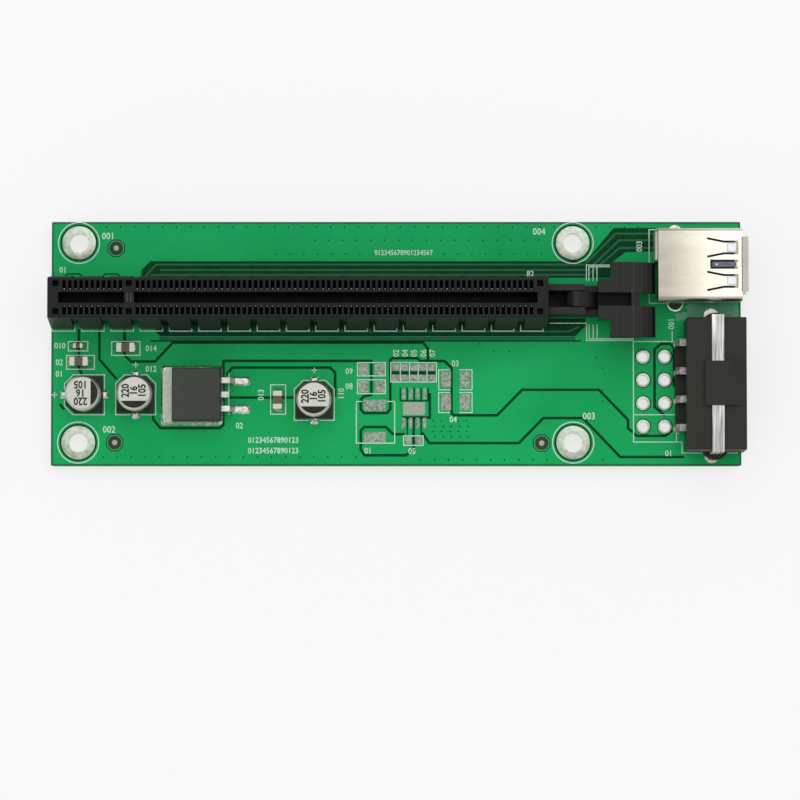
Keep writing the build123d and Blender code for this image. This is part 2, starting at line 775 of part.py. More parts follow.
nodes = {
    "circuit_board": circuit_board(),
    "slot_housing": slot_housing(),
    "slot_wall_north": slot_wall(1),
    "slot_wall_south": slot_wall(-1),
    "slot_contacts_north": slot_contacts(1),
    "slot_contacts_south": slot_contacts(-1),
    "slot_latch": slot_latch(),
    "usb_shell": usb_shell(),
    "usb_insulator": usb_insulator(),
    "usb_wide_contacts": usb_wide_contacts(),
    "usb_fine_contacts": usb_fine_contacts(),
    "power_housing": power_housing(),
    "power_pins": group(power_pin(y) for y in power_pin_places),
    "power_clip_north": power_clip(1),
    "power_clip_south": power_clip(-1),
    "regulator_mould": regulator_mould(),
    "regulator_tab": regulator_tab(),
    "regulator_leads": regulator_leads(),
}
for number in range(len(can_places)):
    nodes[f"can_body_{number + 1}"] = can_body(number)
    nodes[f"can_base_{number + 1}"] = can_base(number)
    nodes[f"can_tabs_{number + 1}"] = can_tabs(number)
for number in range(len(chip_places)):
    nodes[f"chip_body_{number + 1}"] = chip_body(number)
    nodes[f"chip_ends_{number + 1}"] = chip_ends(number)

os.makedirs("parts", exist_ok=True)
for name, shape in nodes.items():
    export_step(shape, f"parts/{name}.step")
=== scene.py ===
# %% [markdown]
# A riser board on a white table.
#
# The solids come from a CAD model and stay exactly where they are. This lesson gives them
# their finishes, adds what is too thin for CAD (print, traces, pads, solder), and sets up the
# table, the light and the camera.

# %% Load the solids
import json
import math

import bmesh
import bpy
from mathutils import Matrix, Vector


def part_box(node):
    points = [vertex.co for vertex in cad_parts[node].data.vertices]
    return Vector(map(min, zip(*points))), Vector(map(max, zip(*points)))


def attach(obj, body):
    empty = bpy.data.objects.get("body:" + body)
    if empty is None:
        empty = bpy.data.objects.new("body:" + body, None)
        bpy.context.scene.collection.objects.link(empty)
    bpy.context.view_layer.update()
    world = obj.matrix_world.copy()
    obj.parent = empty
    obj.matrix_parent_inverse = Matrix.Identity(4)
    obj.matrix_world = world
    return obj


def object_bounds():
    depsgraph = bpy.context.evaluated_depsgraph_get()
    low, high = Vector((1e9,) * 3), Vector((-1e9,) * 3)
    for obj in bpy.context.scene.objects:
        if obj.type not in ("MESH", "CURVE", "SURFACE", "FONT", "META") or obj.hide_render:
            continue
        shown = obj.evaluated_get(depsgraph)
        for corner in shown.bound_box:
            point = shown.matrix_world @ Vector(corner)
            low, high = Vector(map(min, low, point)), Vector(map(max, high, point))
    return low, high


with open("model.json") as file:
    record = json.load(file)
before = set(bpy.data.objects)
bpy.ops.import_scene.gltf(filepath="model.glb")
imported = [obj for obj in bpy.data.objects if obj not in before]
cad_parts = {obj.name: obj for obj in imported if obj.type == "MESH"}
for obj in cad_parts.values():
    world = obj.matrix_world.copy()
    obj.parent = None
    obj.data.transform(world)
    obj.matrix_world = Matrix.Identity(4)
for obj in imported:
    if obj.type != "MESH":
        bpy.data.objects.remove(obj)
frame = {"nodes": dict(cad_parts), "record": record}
cad_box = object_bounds()
nodes = frame["nodes"]
print(len(nodes), "solids, box in metres:", cad_box)

# %% [markdown]
# Sizes. Blender works in metres and the board is drawn in millimetres, so one factor turns the
# one into the other. Places on the board are measured along the slot from the middle of the four
# mounting holes, and across the board from its own middle line, which makes both halves easy to
# compare. Whatever belongs to a solid is read from that solid, so it can't drift away from it.

# %% Read places from the solids
mm = 0.001
board_low, board_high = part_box("circuit_board")
board_middle = (board_low[1] + board_high[1]) / 2 / mm
board_left, board_right = board_low[0] / mm, board_high[0] / mm
board_half = (board_high[1] - board_low[1]) / 2 / mm
floor_level = cad_box[0][2] / mm


def span(node):
    """The lowest and highest corner of a solid, in millimetres, with y from the board's middle."""
    low, high = (Vector(corner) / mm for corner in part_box(node))
    shift = Vector((0, board_middle, 0))
    return low - shift, high - shift


def top_of(node):
    """The highest level of a solid."""
    return span(node)[1].z


def middle_of(node):
    """The middle of a solid seen from above."""
    low, high = span(node)
    return (low.x + high.x) / 2, (low.y + high.y) / 2


board_top = top_of("circuit_board")
print("board from", round(board_left, 2), "to", round(board_right, 2), "top", round(board_top, 2))

# %% [markdown]
# The camera hangs almost straight over the board, a little to the front, far enough away that
# the tall slot hardly leans. A long lens makes the board fill the picture. The view is 800 by
# 800, so the lens follows from the focal length in pixels: a 36 mm wide sensor holds 800 of them.

# %% Place the camera
picture_pixels = 800
focal_pixels = 4730
sensor_width = 36.0
aim = Vector((13.35, -10.34, 1.6)) * mm
camera_distance = 850 * mm
camera_rise = math.radians(86.2)

lens = bpy.data.cameras.new("camera")
lens.sensor_width = sensor_width
lens.lens = sensor_width * focal_pixels / picture_pixels
lens.clip_start = 0.05
lens.clip_end = 20
camera = bpy.data.objects.new("camera", lens)
bpy.context.collection.objects.link(camera)
back = Vector((0, -math.cos(camera_rise), math.sin(camera_rise)))
camera.location = aim + back * camera_distance
camera.rotation_euler = (math.pi / 2 - camera_rise, 0, 0)
bpy.context.scene.camera = camera
print("lens", round(lens.lens, 1), "mm")

# %% [markdown]
# Light. A product picture of a flat board wants soft light: a wide lamp overhead, set back
# behind the board, gives the metal something bright to reflect and lays a soft shadow in front
# of the slot. An even pale world fills the rest, so colours come out about as they are written.
# Lamps are far bigger than the board, so their places and sizes are written in metres.

# %% Hang the lamps
room_strength = 0.66
scene = bpy.context.scene
scene.view_settings.view_transform = "Standard"
world = bpy.data.worlds.new("room")
scene.world = world
world.use_nodes = True
room = world.node_tree.nodes["Background"]
room.inputs["Color"].default_value = (1.0, 1.0, 1.0, 1.0)
room.inputs["Strength"].default_value = room_strength


def soft_lamp(name, place, size, power):
    """A rectangular lamp that faces the middle of the board."""
    light = bpy.data.lights.new(name, "AREA")
    light.shape = "RECTANGLE"
    light.size, light.size_y = size
    light.energy = power
    lamp = bpy.data.objects.new(name, light)
    bpy.context.collection.objects.link(lamp)
    lamp.location = place
    lamp.rotation_euler = (aim - Vector(place)).to_track_quat("-Z", "Y").to_euler()
    return lamp


soft_lamp("overhead_lamp", place=(0.1, 0.38, 0.95), size=(1.1, 0.8), power=2.8)
soft_lamp("front_lamp", place=(-0.5, -0.9, 0.6), size=(0.6, 0.5), power=0.9)
print("world", room_strength, "and two lamps")

# %% [markdown]
# Shader sums. A small class stands for one output of a node, so that a formula such as
# 1 - mask reads as it would on paper and adds its Math nodes by itself. Every other node comes
# from one method that takes the type, the settings and the inputs.

# %% Write shader sums in Python
class Value:
    """One output in a node tree, which can be used in sums."""

    def __init__(self, tree, socket=None):
        self.tree = tree
        self.socket = socket

    def node(self, kind, settings=None, inputs=None, output=0):
        """Add a node: its settings first, then the numbers or links of its inputs."""
        made = self.tree.nodes.new(kind)
        for name, value in (settings or {}).items():
            setattr(made, name, value)
        for name, value in (inputs or {}).items():
            self.feed(made.inputs[name], value)
        return Value(self.tree, made.outputs[output])

    def feed(self, target, value):
        """Link a value to an input, or set a plain number on it."""
        if isinstance(value, Value):
            self.tree.links.new(value.socket, target)
        else:
            target.default_value = value

    def sum(self, operation, first, second=0.0):
        """Add a Math node."""
        return self.node("ShaderNodeMath", {"operation": operation}, {0: first, 1: second})

    def __add__(self, other):
        return self.sum("ADD", self, other)

    def __sub__(self, other):
        return self.sum("SUBTRACT", self, other)

    def __rsub__(self, other):
        return self.sum("SUBTRACT", other, self)

    def __mul__(self, other):
        return self.sum("MULTIPLY", self, other)

    def __gt__(self, other):
        return self.sum("GREATER_THAN", self, other)

    def __lt__(self, other):
        """The reflected form of >, for a number on the left."""
        return self.sum("LESS_THAN", self, other)

    def __abs__(self):
        return self.sum("ABSOLUTE", self)

    __radd__ = __add__
    __rmul__ = __mul__


print("operators:", "+ - * > abs")

# %% [markdown]
# Finishes share a few steps: start a material with its plain numbers, read the place on the
# object in metres, make noise of a given grain size, blend two colours, and press a height
# into the surface with a Bump node. The helpers below keep each finish to a few lines. The Mix
# node has a set of sockets for each kind of data, so its colour sockets are picked by number.

# %% Helpers for finishes
mix_amount, mix_first, mix_second, mix_result = 0, 6, 7, 2


def finish(name, **numbers):
    """A material whose shader starts with plain numbers; returns it with its tree and shader."""
    material = bpy.data.materials.new(name)
    material.use_nodes = True
    shader = material.node_tree.nodes["Principled BSDF"]
    for socket, number in numbers.items():
        shader.inputs[socket.replace("_", " ")].default_value = number
    return material, Value(material.node_tree), shader


def place_on(tree):
    """The place on the object, in metres."""
    return tree.node("ShaderNodeTexCoord", output="Object")


def grain(tree, size, detail=3.0, stretch=(1, 1, 1)):
    """Noise from 0 to 1 whose spots are about this many millimetres wide."""
    where = tree.node("ShaderNodeMapping", {}, {"Vector": place_on(tree), "Scale": stretch})
    inputs = {"Vector": where, "Scale": 1 / (size * mm), "Detail": detail}
    return tree.node("ShaderNodeTexNoise", {}, inputs)


def contrast(value, gain):
    """Noise gathers round one half; this spreads it towards 0 and 1."""
    spread = (value - 0.5) * gain + 0.5
    return value.node("ShaderNodeClamp", {}, {"Value": spread})


def blend(tree, amount, first, second):
    """A colour between two colours."""
    inputs = {mix_amount: amount, mix_first: first, mix_second: second}
    return tree.node("ShaderNodeMix", {"data_type": "RGBA"}, inputs, mix_result)


def press(tree, shader, height, depth, strength=0.5):
    """Press a height pattern, of a depth in millimetres, into the surface."""
    inputs = {"Height": height, "Distance": depth * mm, "Strength": strength}
    tree.feed(shader.inputs["Normal"], tree.node("ShaderNodeBump", {}, inputs))


def shade(red, green, blue):
    """A colour with full alpha."""
    return (red, green, blue, 1.0)


print("finish, grain, contrast, blend, press")

# %% [markdown]
# Dressing. A solid gets its finish by swapping the material in its slot, which leaves its shape
# and its place alone. Parts that repeat have numbered names, so one call can dress them all.

# %% Helpers for dressing the solids
def dress(material, *names):
    """Give solids their material."""
    for name in names:
        slots = nodes[name].data.materials
        slots.clear()
        slots.append(material)


def numbered(name, count):
    """The names of solids that repeat."""
    return [f"{name}_{number}" for number in range(1, count + 1)]


print("repeated parts:", numbered("can_body", 3) + numbered("chip_body", 4))

# %% [markdown]
# The table is a plain white sheet. To the camera it is mostly lit by itself, so the background
# stays white, and the rest is a white that takes the board's soft shadow. Mirrors see the same
# white, because the glossy and transmission rays are counted with the camera's.

# %% Lay the table
table_half = 1500
own_light = 0.7


def lay_table():
    """A white sheet that keeps a part of the shadow."""
    mesh = bpy.data.meshes.new("table")
    edge = table_half * mm
    level = floor_level * mm
    corners = [(-edge, -edge, level), (edge, -edge, level), (edge, edge, level),
               (-edge, edge, level)]
    mesh.from_pydata(corners, [], [(0, 1, 2, 3)])
    table = bpy.data.objects.new("table", mesh)
    bpy.context.collection.objects.link(table)
    material, tree, shader = finish("white_sheet", Base_Color=shade(0.95, 0.95, 0.95),
                                    Roughness=0.9)
    rays = tree.node("ShaderNodeLightPath", output="Is Camera Ray")
    glossy = Value(tree.tree, rays.socket.node.outputs["Is Glossy Ray"])
    through = Value(tree.tree, rays.socket.node.outputs["Is Transmission Ray"])
    white = tree.node("ShaderNodeEmission", {}, {"Color": shade(1, 1, 1), "Strength": 1.0})
    lit = Value(tree.tree, shader.outputs["BSDF"])
    share = (rays + glossy + through) * own_light
    mixed = tree.node("ShaderNodeMixShader", {}, {0: share, 1: lit, 2: white})
    tree.feed(material.node_tree.nodes["Material Output"].inputs["Surface"], mixed)
    mesh.materials.append(material)
    return table


print("table", lay_table().name)

# %% [markdown]
# The board is glass cloth under a green lacquer. The lacquer is smooth with a slight orange
# peel, its tone drifts a little over the copper below, and the sawn edges show the paler
# laminate. Two materials on one board would need its faces sorted by hand. Which way a face looks
# tells the edge from the lacquer just as well, so one material does both.

# %% Green lacquer
def green_lacquer():
    """Lacquer on the two faces, laminate on the sawn edges."""
    material, tree, shader = finish("green_lacquer", Specular_IOR_Level=0.06)
    facing = tree.node("ShaderNodeNewGeometry", output="Normal")
    height = tree.node("ShaderNodeSeparateXYZ", {}, {0: facing}, "Z")
    flat = abs(height) > 0.5
    patches = contrast(grain(tree, 22, 2), gain=1.8)
    tone = patches * 0.75 + grain(tree, 1.1, 2) * 0.25
    lacquer = blend(tree, tone, shade(0.004, 0.335, 0.082), shade(0.014, 0.500, 0.145))
    fibres = grain(tree, 0.35, 2, stretch=(0.2, 0.2, 1))
    laminate = blend(tree, fibres, shade(0.06, 0.15, 0.075), shade(0.22, 0.36, 0.20))
    tree.feed(shader.inputs["Base Color"], blend(tree, flat, laminate, lacquer))
    tree.feed(shader.inputs["Roughness"], 0.62 - flat * 0.3 + grain(tree, 0.8) * 0.08)
    press(tree, shader, grain(tree, 0.5, 2), depth=0.02, strength=0.15)
    return material


lacquer_green = green_lacquer()
dress(lacquer_green, "circuit_board")
print("board:", lacquer_green.name)

# %% [markdown]
# Black plastics. The power inlet, the regulator's block and the feet of the cans are filled
# plastic: nearly black, satin, with a fine grain and a slow drift of tone. Each could have a
# material of its own, but the real mouldings differ only in tone and grain, so one recipe serves
# them all. It also makes a greyer black, which is a painted highlight on the key's ridges and on
# the latch's edges.

# %% Moulded plastics
def moulded_plastic(name, dark, light, gloss, grain_size, shine=0.3):
    """A satin moulding with a fine grain and a slow drift of tone."""
    material, tree, shader = finish(name, Specular_IOR_Level=shine)
    speck = grain(tree, grain_size, 4)
    drift = contrast(grain(tree, 7, 2), gain=1.6)
    tone = speck * 0.5 + drift * 0.5
    tree.feed(shader.inputs["Base Color"], blend(tree, tone, shade(*dark), shade(*light)))
    tree.feed(shader.inputs["Roughness"], gloss + speck * 0.16)
    press(tree, shader, speck, depth=0.02, strength=0.25)
    return material


inlet_black = moulded_plastic("inlet_black", (0.014, 0.014, 0.011), (0.032, 0.031, 0.026),
                              gloss=0.44, grain_size=0.3, shine=0.25)
block_black = moulded_plastic("block_black", (0.038, 0.042, 0.035), (0.066, 0.071, 0.060),
                              gloss=0.46, grain_size=0.15, shine=0.2)
# A greyer black: painted highlight on the key's ridges and the latch's edges.
painted_highlight_black = moulded_plastic("painted_highlight_black", (0.030, 0.031, 0.027), (0.075, 0.077, 0.068),
                             gloss=0.46, grain_size=0.5)
foot_black = moulded_plastic("foot_black", (0.010, 0.010, 0.009), (0.024, 0.024, 0.021),
                             gloss=0.45, grain_size=0.2)
dress(inlet_black, "power_housing")
dress(block_black, "regulator_mould")
dress(foot_black, *numbered("can_base", 3))
print("four mouldings")

# %% [markdown]
# Three mouldings change along the way, with painted light and shade. The slot is smooth and deep
# black on top and a little paler and browner down its rough sides, a painted light on sides that
# stand in shade. The latch is paler on its wings, a painted light, and near black in its hollows, a
# painted shade. The socket's insulator is blue at the tongue, where the plug goes in, and black at
# its root, a painted shade inside the shell. Each blends two tones by the place on the piece.

# %% Mouldings with painted light and shade
def two_tone_plastic(name, axis, start, length, first, second, gloss, shine):
    """A moulding that passes from one tone to another over a length along an axis, in mm."""
    material, tree, shader = finish(name, Specular_IOR_Level=shine)
    along = tree.node("ShaderNodeSeparateXYZ", {}, {0: place_on(tree)}, axis)
    speck = grain(tree, 0.25, 4)
    share = along * (1 / (length * mm)) - start / length + (speck - 0.5) * 0.6
    amount = tree.node("ShaderNodeClamp", {}, {"Value": share})
    tree.feed(shader.inputs["Base Color"], blend(tree, amount, shade(*first), shade(*second)))
    tree.feed(shader.inputs["Roughness"], gloss + speck * 0.16)
    press(tree, shader, speck, depth=0.02, strength=0.25)
    return material


slot_top = top_of("slot_wall_north")
slot_light_depth, latch_shade_level, tongue_shade_reach = 1.2, 7.4, 3
tongue_start = middle_of("usb_insulator")[0] - tongue_shade_reach
# Paler and browner below a depth under the top: painted light on the slot's shaded sides.
slot_black = two_tone_plastic("slot_black", "Z", slot_top - slot_light_depth, 1.0,
                              (0.026, 0.025, 0.025), (0.0095, 0.0115, 0.011), 0.38, 0.18)
# Near black below this level, paler above: painted shade in the latch's hollows, painted light on
# its wings.
latch_black = two_tone_plastic("latch_black", "Z", latch_shade_level, 1.4,
                               (0.002, 0.0022, 0.0022), (0.027, 0.0285, 0.025), 0.42, 0.14)
# Near black at the root, blue at the tongue: the dark root is painted shade inside the shell.
tongue_blue = two_tone_plastic("tongue_blue", "X", tongue_start, 2.0,
                               (0.010, 0.011, 0.012), (0.042, 0.056, 0.115), 0.34, 0.25)
dress(slot_black, "slot_housing", "slot_wall_north", "slot_wall_south")
dress(latch_black, "slot_latch")
dress(tongue_blue, "usb_insulator")
print("slot, latch and tongue")

# %% [markdown]
# Metals. Tin on the leads and pads is soft and uneven, nickel on the socket is brighter and
# cooler, the can is satin aluminium, and the springs in the slot are plated. Grey paint would
# look dead under these lamps. All are full metals: their look comes from what they reflect and
# how rough they are. Stretching the noise along one direction turns its spots into the lines
# that rolling leaves.

# %% A metal
def sheet_metal(name, dull, bright, gloss, spot, stretch=(1, 1, 1), relief=0.01, gain=1.6):
    """A full metal whose tone and gloss vary in spots of this size."""
    material, tree, shader = finish(name, Metallic=1.0)
    patch = contrast(grain(tree, spot, 3, stretch), gain)
    fine = grain(tree, spot / 6, 2, stretch)
    tree.feed(shader.inputs["Base Color"], blend(tree, patch, shade(*dull), shade(*bright)))
    tree.feed(shader.inputs["Roughness"], gloss + patch * 0.14 + fine * 0.06)
    press(tree, shader, patch * 0.7 + fine * 0.3, relief, strength=0.4)
    return material


print("one recipe for thirteen metals")

# %% [markdown]
# Tin and solder. Hot tin sets in a skin of bright and dull patches. The straps of the power inlet
# are bent from sheet, so their patches are drawn out into streaks across the bend; the streaks'
# strong contrast is partly a painted highlight and shade of ribs along the straps. Solder has the
# strongest relief, because it freezes as a wavy drop.

# %% Tin and solder
tin = sheet_metal("tin", (0.34, 0.35, 0.31), (0.84, 0.85, 0.80), 0.24, 0.7,
                  relief=0.06, gain=2.0)
tab_tin = sheet_metal("tab_tin", (0.30, 0.33, 0.26), (0.57, 0.61, 0.49), 0.34, 0.9,
                      relief=0.05)
# Strong streaks: partly painted highlight and shade of the ribs along the straps.
strap_tin = sheet_metal("strap_tin", (0.07, 0.07, 0.06), (0.88, 0.86, 0.80), 0.24, 0.5,
                        stretch=(1, 0.04, 0.04), relief=0.03, gain=3.0)
# A darker tin than on the other leads: painted shade on the power pins.
pin_tin = sheet_metal("pin_tin", (0.12, 0.12, 0.11), (0.56, 0.56, 0.52), 0.26, 0.6,
                      relief=0.05, gain=2.4)
solder = sheet_metal("solder", (0.30, 0.33, 0.28), (0.88, 0.90, 0.84), 0.22, 0.6,
                     relief=0.12, gain=2.2)
land_tin = sheet_metal("land_tin", (0.34, 0.40, 0.32), (0.66, 0.73, 0.61), 0.30, 0.7,
                       relief=0.06, gain=2.0)
bare_tin = sheet_metal("bare_tin", (0.12, 0.17, 0.13), (0.46, 0.52, 0.44), 0.40, 0.5,
                       relief=0.05, gain=2.4)
dull_tin = sheet_metal("dull_tin", (0.28, 0.31, 0.25), (0.46, 0.50, 0.41), 0.42, 0.35,
                       relief=0.05, gain=2.0)
dress(tin, "regulator_leads", *numbered("can_tabs", 3))
dress(pin_tin, "power_pins")
dress(strap_tin, "power_clip_north", "power_clip_south")
dress(tab_tin, "regulator_tab")
print("eight tinned finishes")

# %% [markdown]
# Nickel, aluminium and springs. These are smoother than tin: a pale cool nickel, which is a painted
# reflection on the socket's spring pads and dimple, a dark slate nickel, which is painted shade on
# the socket's finger and lip crease, satin aluminium on the cans and on the ends of the chips, and
# two platings on the contacts. They differ only in tone and gloss.

# %% Nickel, aluminium and springs
# Paler, cooler nickel: a painted reflection on the socket's spring pads and dimple.
painted_reflection_nickel = sheet_metal("painted_reflection_nickel", (0.58, 0.59, 0.63), (0.78, 0.79, 0.83), 0.26, 0.8)
# Dark slate nickel: painted shade on the socket's finger and lip crease.
painted_shade_nickel = sheet_metal("painted_shade_nickel", (0.09, 0.09, 0.12), (0.20, 0.20, 0.25), 0.34, 0.8)
aluminium = sheet_metal("aluminium", (0.46, 0.46, 0.41), (0.64, 0.65, 0.58), 0.30, 0.6)
spring_plate = sheet_metal("spring_plate", (0.28, 0.27, 0.22), (0.56, 0.54, 0.46), 0.28, 0.4)
spring_bronze = sheet_metal("spring_bronze", (0.08, 0.07, 0.05), (0.20, 0.17, 0.12), 0.36, 0.4)
dress(aluminium, *numbered("can_body", 3), *numbered("chip_ends", 4))
dress(spring_plate, "usb_wide_contacts", "usb_fine_contacts")
dress(spring_bronze, "slot_contacts_north", "slot_contacts_south")
print("five smooth metals")

# %% [markdown]
# The socket's shell is bright nickel with faint rolling lines. Its rear is darker and rougher and
# its front brighter and smoother; the darker rear is a painted reflection. One even metal would not
# give that, so the tone and the gloss pass from one to the other along the shell, with fine specks
# in the darker part.

# %% Nickel of the socket
shaded_rear_start, shade_fade_length = 1.5, 8.0


def socket_nickel():
    """Nickel that is darker at the rear and brighter at the front, a painted reflection."""
    material, tree, shader = finish("socket_nickel", Metallic=1.0)
    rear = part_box("usb_shell")[0][0] / mm + shaded_rear_start
    along = tree.node("ShaderNodeSeparateXYZ", {}, {0: place_on(tree)}, "X")
    speck = grain(tree, 0.25, 3)
    rolled = contrast(grain(tree, 2.4, 3, stretch=(0.3, 1, 1)), gain=1.5)
    share = along * (1 / (shade_fade_length * mm)) - rear / shade_fade_length + (speck - 0.5) * 0.5
    front_share = tree.node("ShaderNodeClamp", {}, {"Value": share})
    # Darker rear, brighter front: a painted reflection along the shell.
    shaded_rear = blend(tree, rolled, shade(0.36, 0.335, 0.275), shade(0.53, 0.50, 0.42))
    clear = blend(tree, rolled, shade(0.72, 0.69, 0.58), shade(0.83, 0.80, 0.69))
    tree.feed(shader.inputs["Base Color"], blend(tree, front_share, shaded_rear, clear))
    tree.feed(shader.inputs["Roughness"], 0.34 - front_share * 0.1 + speck * 0.06)
    press(tree, shader, rolled * 0.6 + speck * 0.4, depth=0.008, strength=0.4)
    return material


nickel = socket_nickel()
dress(nickel, "usb_shell")
print("socket:", nickel.name)

# %% [markdown]
# Ceramic, ink and paint. The chip capacitors are fired ceramic with fine pale specks. White ink is
# screened on the lacquer and is thin enough to look a little worn, and black ink is stamped on the
# cans. The greens are the lacquer again: darkest over bare laminate, dull over a narrow copper
# line, pale over a copper rim or under a film of flux. The brown is laminate in a window of the
# lacquer, and over the hole of the socket's free leg it is painted shade. All of them cover
# unevenly, so one recipe makes them.

# %% Ceramic, ink and the other greens
def flat_paint(name, thin, full, gloss, spot, shine=0.12):
    """A paint that covers unevenly, in spots of this size."""
    material, tree, shader = finish(name, Specular_IOR_Level=shine)
    cover = contrast(grain(tree, spot, 4), gain=1.6)
    tree.feed(shader.inputs["Base Color"], blend(tree, cover, shade(*thin), shade(*full)))
    tree.feed(shader.inputs["Roughness"], gloss + cover * 0.1)
    press(tree, shader, cover, depth=0.01, strength=0.2)
    return material


ceramic = flat_paint("ceramic", (0.085, 0.068, 0.042), (0.190, 0.160, 0.105), 0.40, 0.12, 0.3)
white_ink = flat_paint("white_ink", (0.50, 0.76, 0.58), (0.84, 0.97, 0.86), 0.50, 0.25)
black_ink = flat_paint("black_ink", (0.014, 0.016, 0.012), (0.034, 0.037, 0.028), 0.42, 0.3)
gap_green = flat_paint("gap_green", (0.0005, 0.046, 0.013), (0.002, 0.074, 0.024),
                       0.40, 1.0, 0.05)
line_green = flat_paint("line_green", (0.026, 0.125, 0.062), (0.044, 0.185, 0.098),
                        0.36, 1.5, 0.05)
rim_green = flat_paint("rim_green", (0.10, 0.36, 0.19), (0.19, 0.50, 0.30), 0.40, 0.4, 0.05)
window_and_shade_brown = flat_paint("window_and_shade_brown", (0.012, 0.070, 0.026), (0.060, 0.068, 0.038),
                          0.55, 0.7, 0.05)
dress(ceramic, *numbered("chip_body", 4))
print("seven paints")

# %% [markdown]
# Thin layers. Print, traces and pads are only hundredths of a millimetre thick. A picture on the
# board could show them, but it would blur when the camera comes near. Here each is a low plate
# that stands on the board, so it is sharp from any side and never fights with the lacquer for the
# same place. A ribbon is a line of even width with its corners mitred.

# %% Helpers for plates and lines
sharpest_mitre = 0.35


def box_outline(x0, y0, x1, y1):
    """The corners of an upright rectangle, counted round."""
    return [(x0, y0), (x1, y0), (x1, y1), (x0, y1)]


def stack(levels):
    """A closed form through outlines of equal length, each with its height, bottom first."""
    count = len(levels[0][0])
    corners = [(x, y, z) for outline, z in levels for x, y in outline]
    faces = [tuple(reversed(range(count))), tuple(range(len(corners) - count, len(corners)))]
    for row in range(0, len(corners) - count, count):
        for near in range(count):
            far = (near + 1) % count
            faces.append((row + near, row + far, row + far + count, row + near + count))
    return corners, faces


def plate(outline, low, high):
    """A flat plate over an outline."""
    return stack([(outline, low), (outline, high)])


def ribbon(points, width, low, high, closed=False):
    """A line of even width along points, with mitred corners."""
    path = [Vector(point) for point in points]
    count = len(path)
    corners, faces = [], []
    for index, here in enumerate(path):
        before = path[index - 1] if index or closed else None
        after = path[(index + 1) % count] if index < count - 1 or closed else None
        ways = [(here - before).normalized()] if before is not None else []
        ways += [(after - here).normalized()] if after is not None else []
        sides = [Vector((-way.y, way.x)) for way in ways]
        across = sum(sides, Vector((0, 0))).normalized()
        reach = width / 2 / max(across.dot(sides[0]), sharpest_mitre)
        for z in (low, high):
            for side in (1, -1):
                corners.append((here.x + side * reach * across.x,
                                here.y + side * reach * across.y, z))
    for index in range(count if closed else count - 1):
        a, b = 4 * index, 4 * ((index + 1) % count)
        for p, q in ((0, 1), (1, 3), (3, 2), (2, 0)):
            faces.append((a + p, a + q, b + q, b + p))
    if not closed:
        faces += [(0, 2, 3, 1), tuple(4 * (count - 1) + step for step in (0, 1, 3, 2))]
    return corners, faces


print("plate, stack, ribbon")

# %% [markdown]
# Round pieces. Blender has ready cylinders and rings, but a plated hole or a drop of solder has a
# section of its own. Here a profile of radius and height is turned about an upright line. That
# gives a solid form, or one with a hole where the profile runs once round its section.

# %% Helpers for round pieces
def circle(center, radius, sides, start=0.0):
    """Points on a circle, the first one so many steps round from +X."""
    turns = [2 * math.pi * (step + start) / sides for step in range(sides)]
    return [(center[0] + radius * math.cos(turn), center[1] + radius * math.sin(turn))
            for turn in turns]


def turned(center, profile, sides=24):
    """A closed turned form about an upright line; the profile lists (radius, height) upwards."""
    return stack([(circle(center, radius, sides), z) for radius, z in profile])


def sleeve(center, profile, sides=48):
    """A turned form with a hole through it; the profile runs once round its section."""
    corners = [(x, y, z) for radius, z in profile for x, y in circle(center, radius, sides)]
    faces = []
    for row in range(len(profile)):
        a, b = row * sides, (row + 1) % len(profile) * sides
        for near in range(sides):
            far = (near + 1) % sides
            faces.append((a + near, a + far, b + far, b + near))
    return corners, faces


def ring(center, inner, outer, low, high, sides=48):
    """A flat ring."""
    return sleeve(center, [(inner, low), (outer, low), (outer, high), (inner, high)], sides)


def disc(center, radius, low, high, sides=24):
    """A flat disc."""
    return turned(center, [(radius, low), (radius, high)], sides)


print("turned, sleeve, ring, disc")

# %% [markdown]
# Joining. Hundreds of small objects would be slow and hard to find, so the pieces of one layer
# become one mesh with one finish. Faces are turned to look outwards, and where a layer is round,
# smooth shading is split at its sharp edges. Each object rides on a body, so that it moves with
# the board or with the latch. The levels set how high each layer stands.

# %% Join thin pieces into one object
sharp_edge = 40
gap_level = board_top + 0.010
line_level = board_top + 0.018
pad_level = board_top + 0.035
ink_level = board_top + 0.045


def join(name, shapes, material, body="board", smooth=False):
    """One object from many shapes, riding on a body."""
    corners, faces = [], []
    for shape_corners, shape_faces in shapes:
        start = len(corners)
        corners += [Vector((x, y + board_middle, z)) * mm for x, y, z in shape_corners]
        faces += [tuple(start + index for index in face) for face in shape_faces]
    mesh = bpy.data.meshes.new(name)
    mesh.from_pydata(corners, [], faces)
    shaper = bmesh.new()
    shaper.from_mesh(mesh)
    bmesh.ops.recalc_face_normals(shaper, faces=shaper.faces)
    shaper.to_mesh(mesh)
    shaper.free()
    mesh.materials.append(material)
    piece = bpy.data.objects.new(name, mesh)
    bpy.context.collection.objects.link(piece)
    if smooth:
        mesh.shade_smooth()
        piece.modifiers.new("crease", "EDGE_SPLIT").split_angle = math.radians(sharp_edge)
    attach(piece, body)
    print(name, len(shapes), "shapes,", len(mesh.polygons), "faces")
    return piece


print("layers stand", [round(level - board_top, 3) for level in (gap_level, ink_level)], "mm high")

# %% [markdown]
# Under the lacquer most of the board is one sheet of copper, which makes it bright. Where the
# sheet is parted, the lacquer lies on bare laminate and shows as a dark green line. Cutting those
# lines into the solid would change it, so they are laid on as ribbons, whose points follow the
# partings round the parts. The wide dark bands beside the slot are where the fine data lines run.

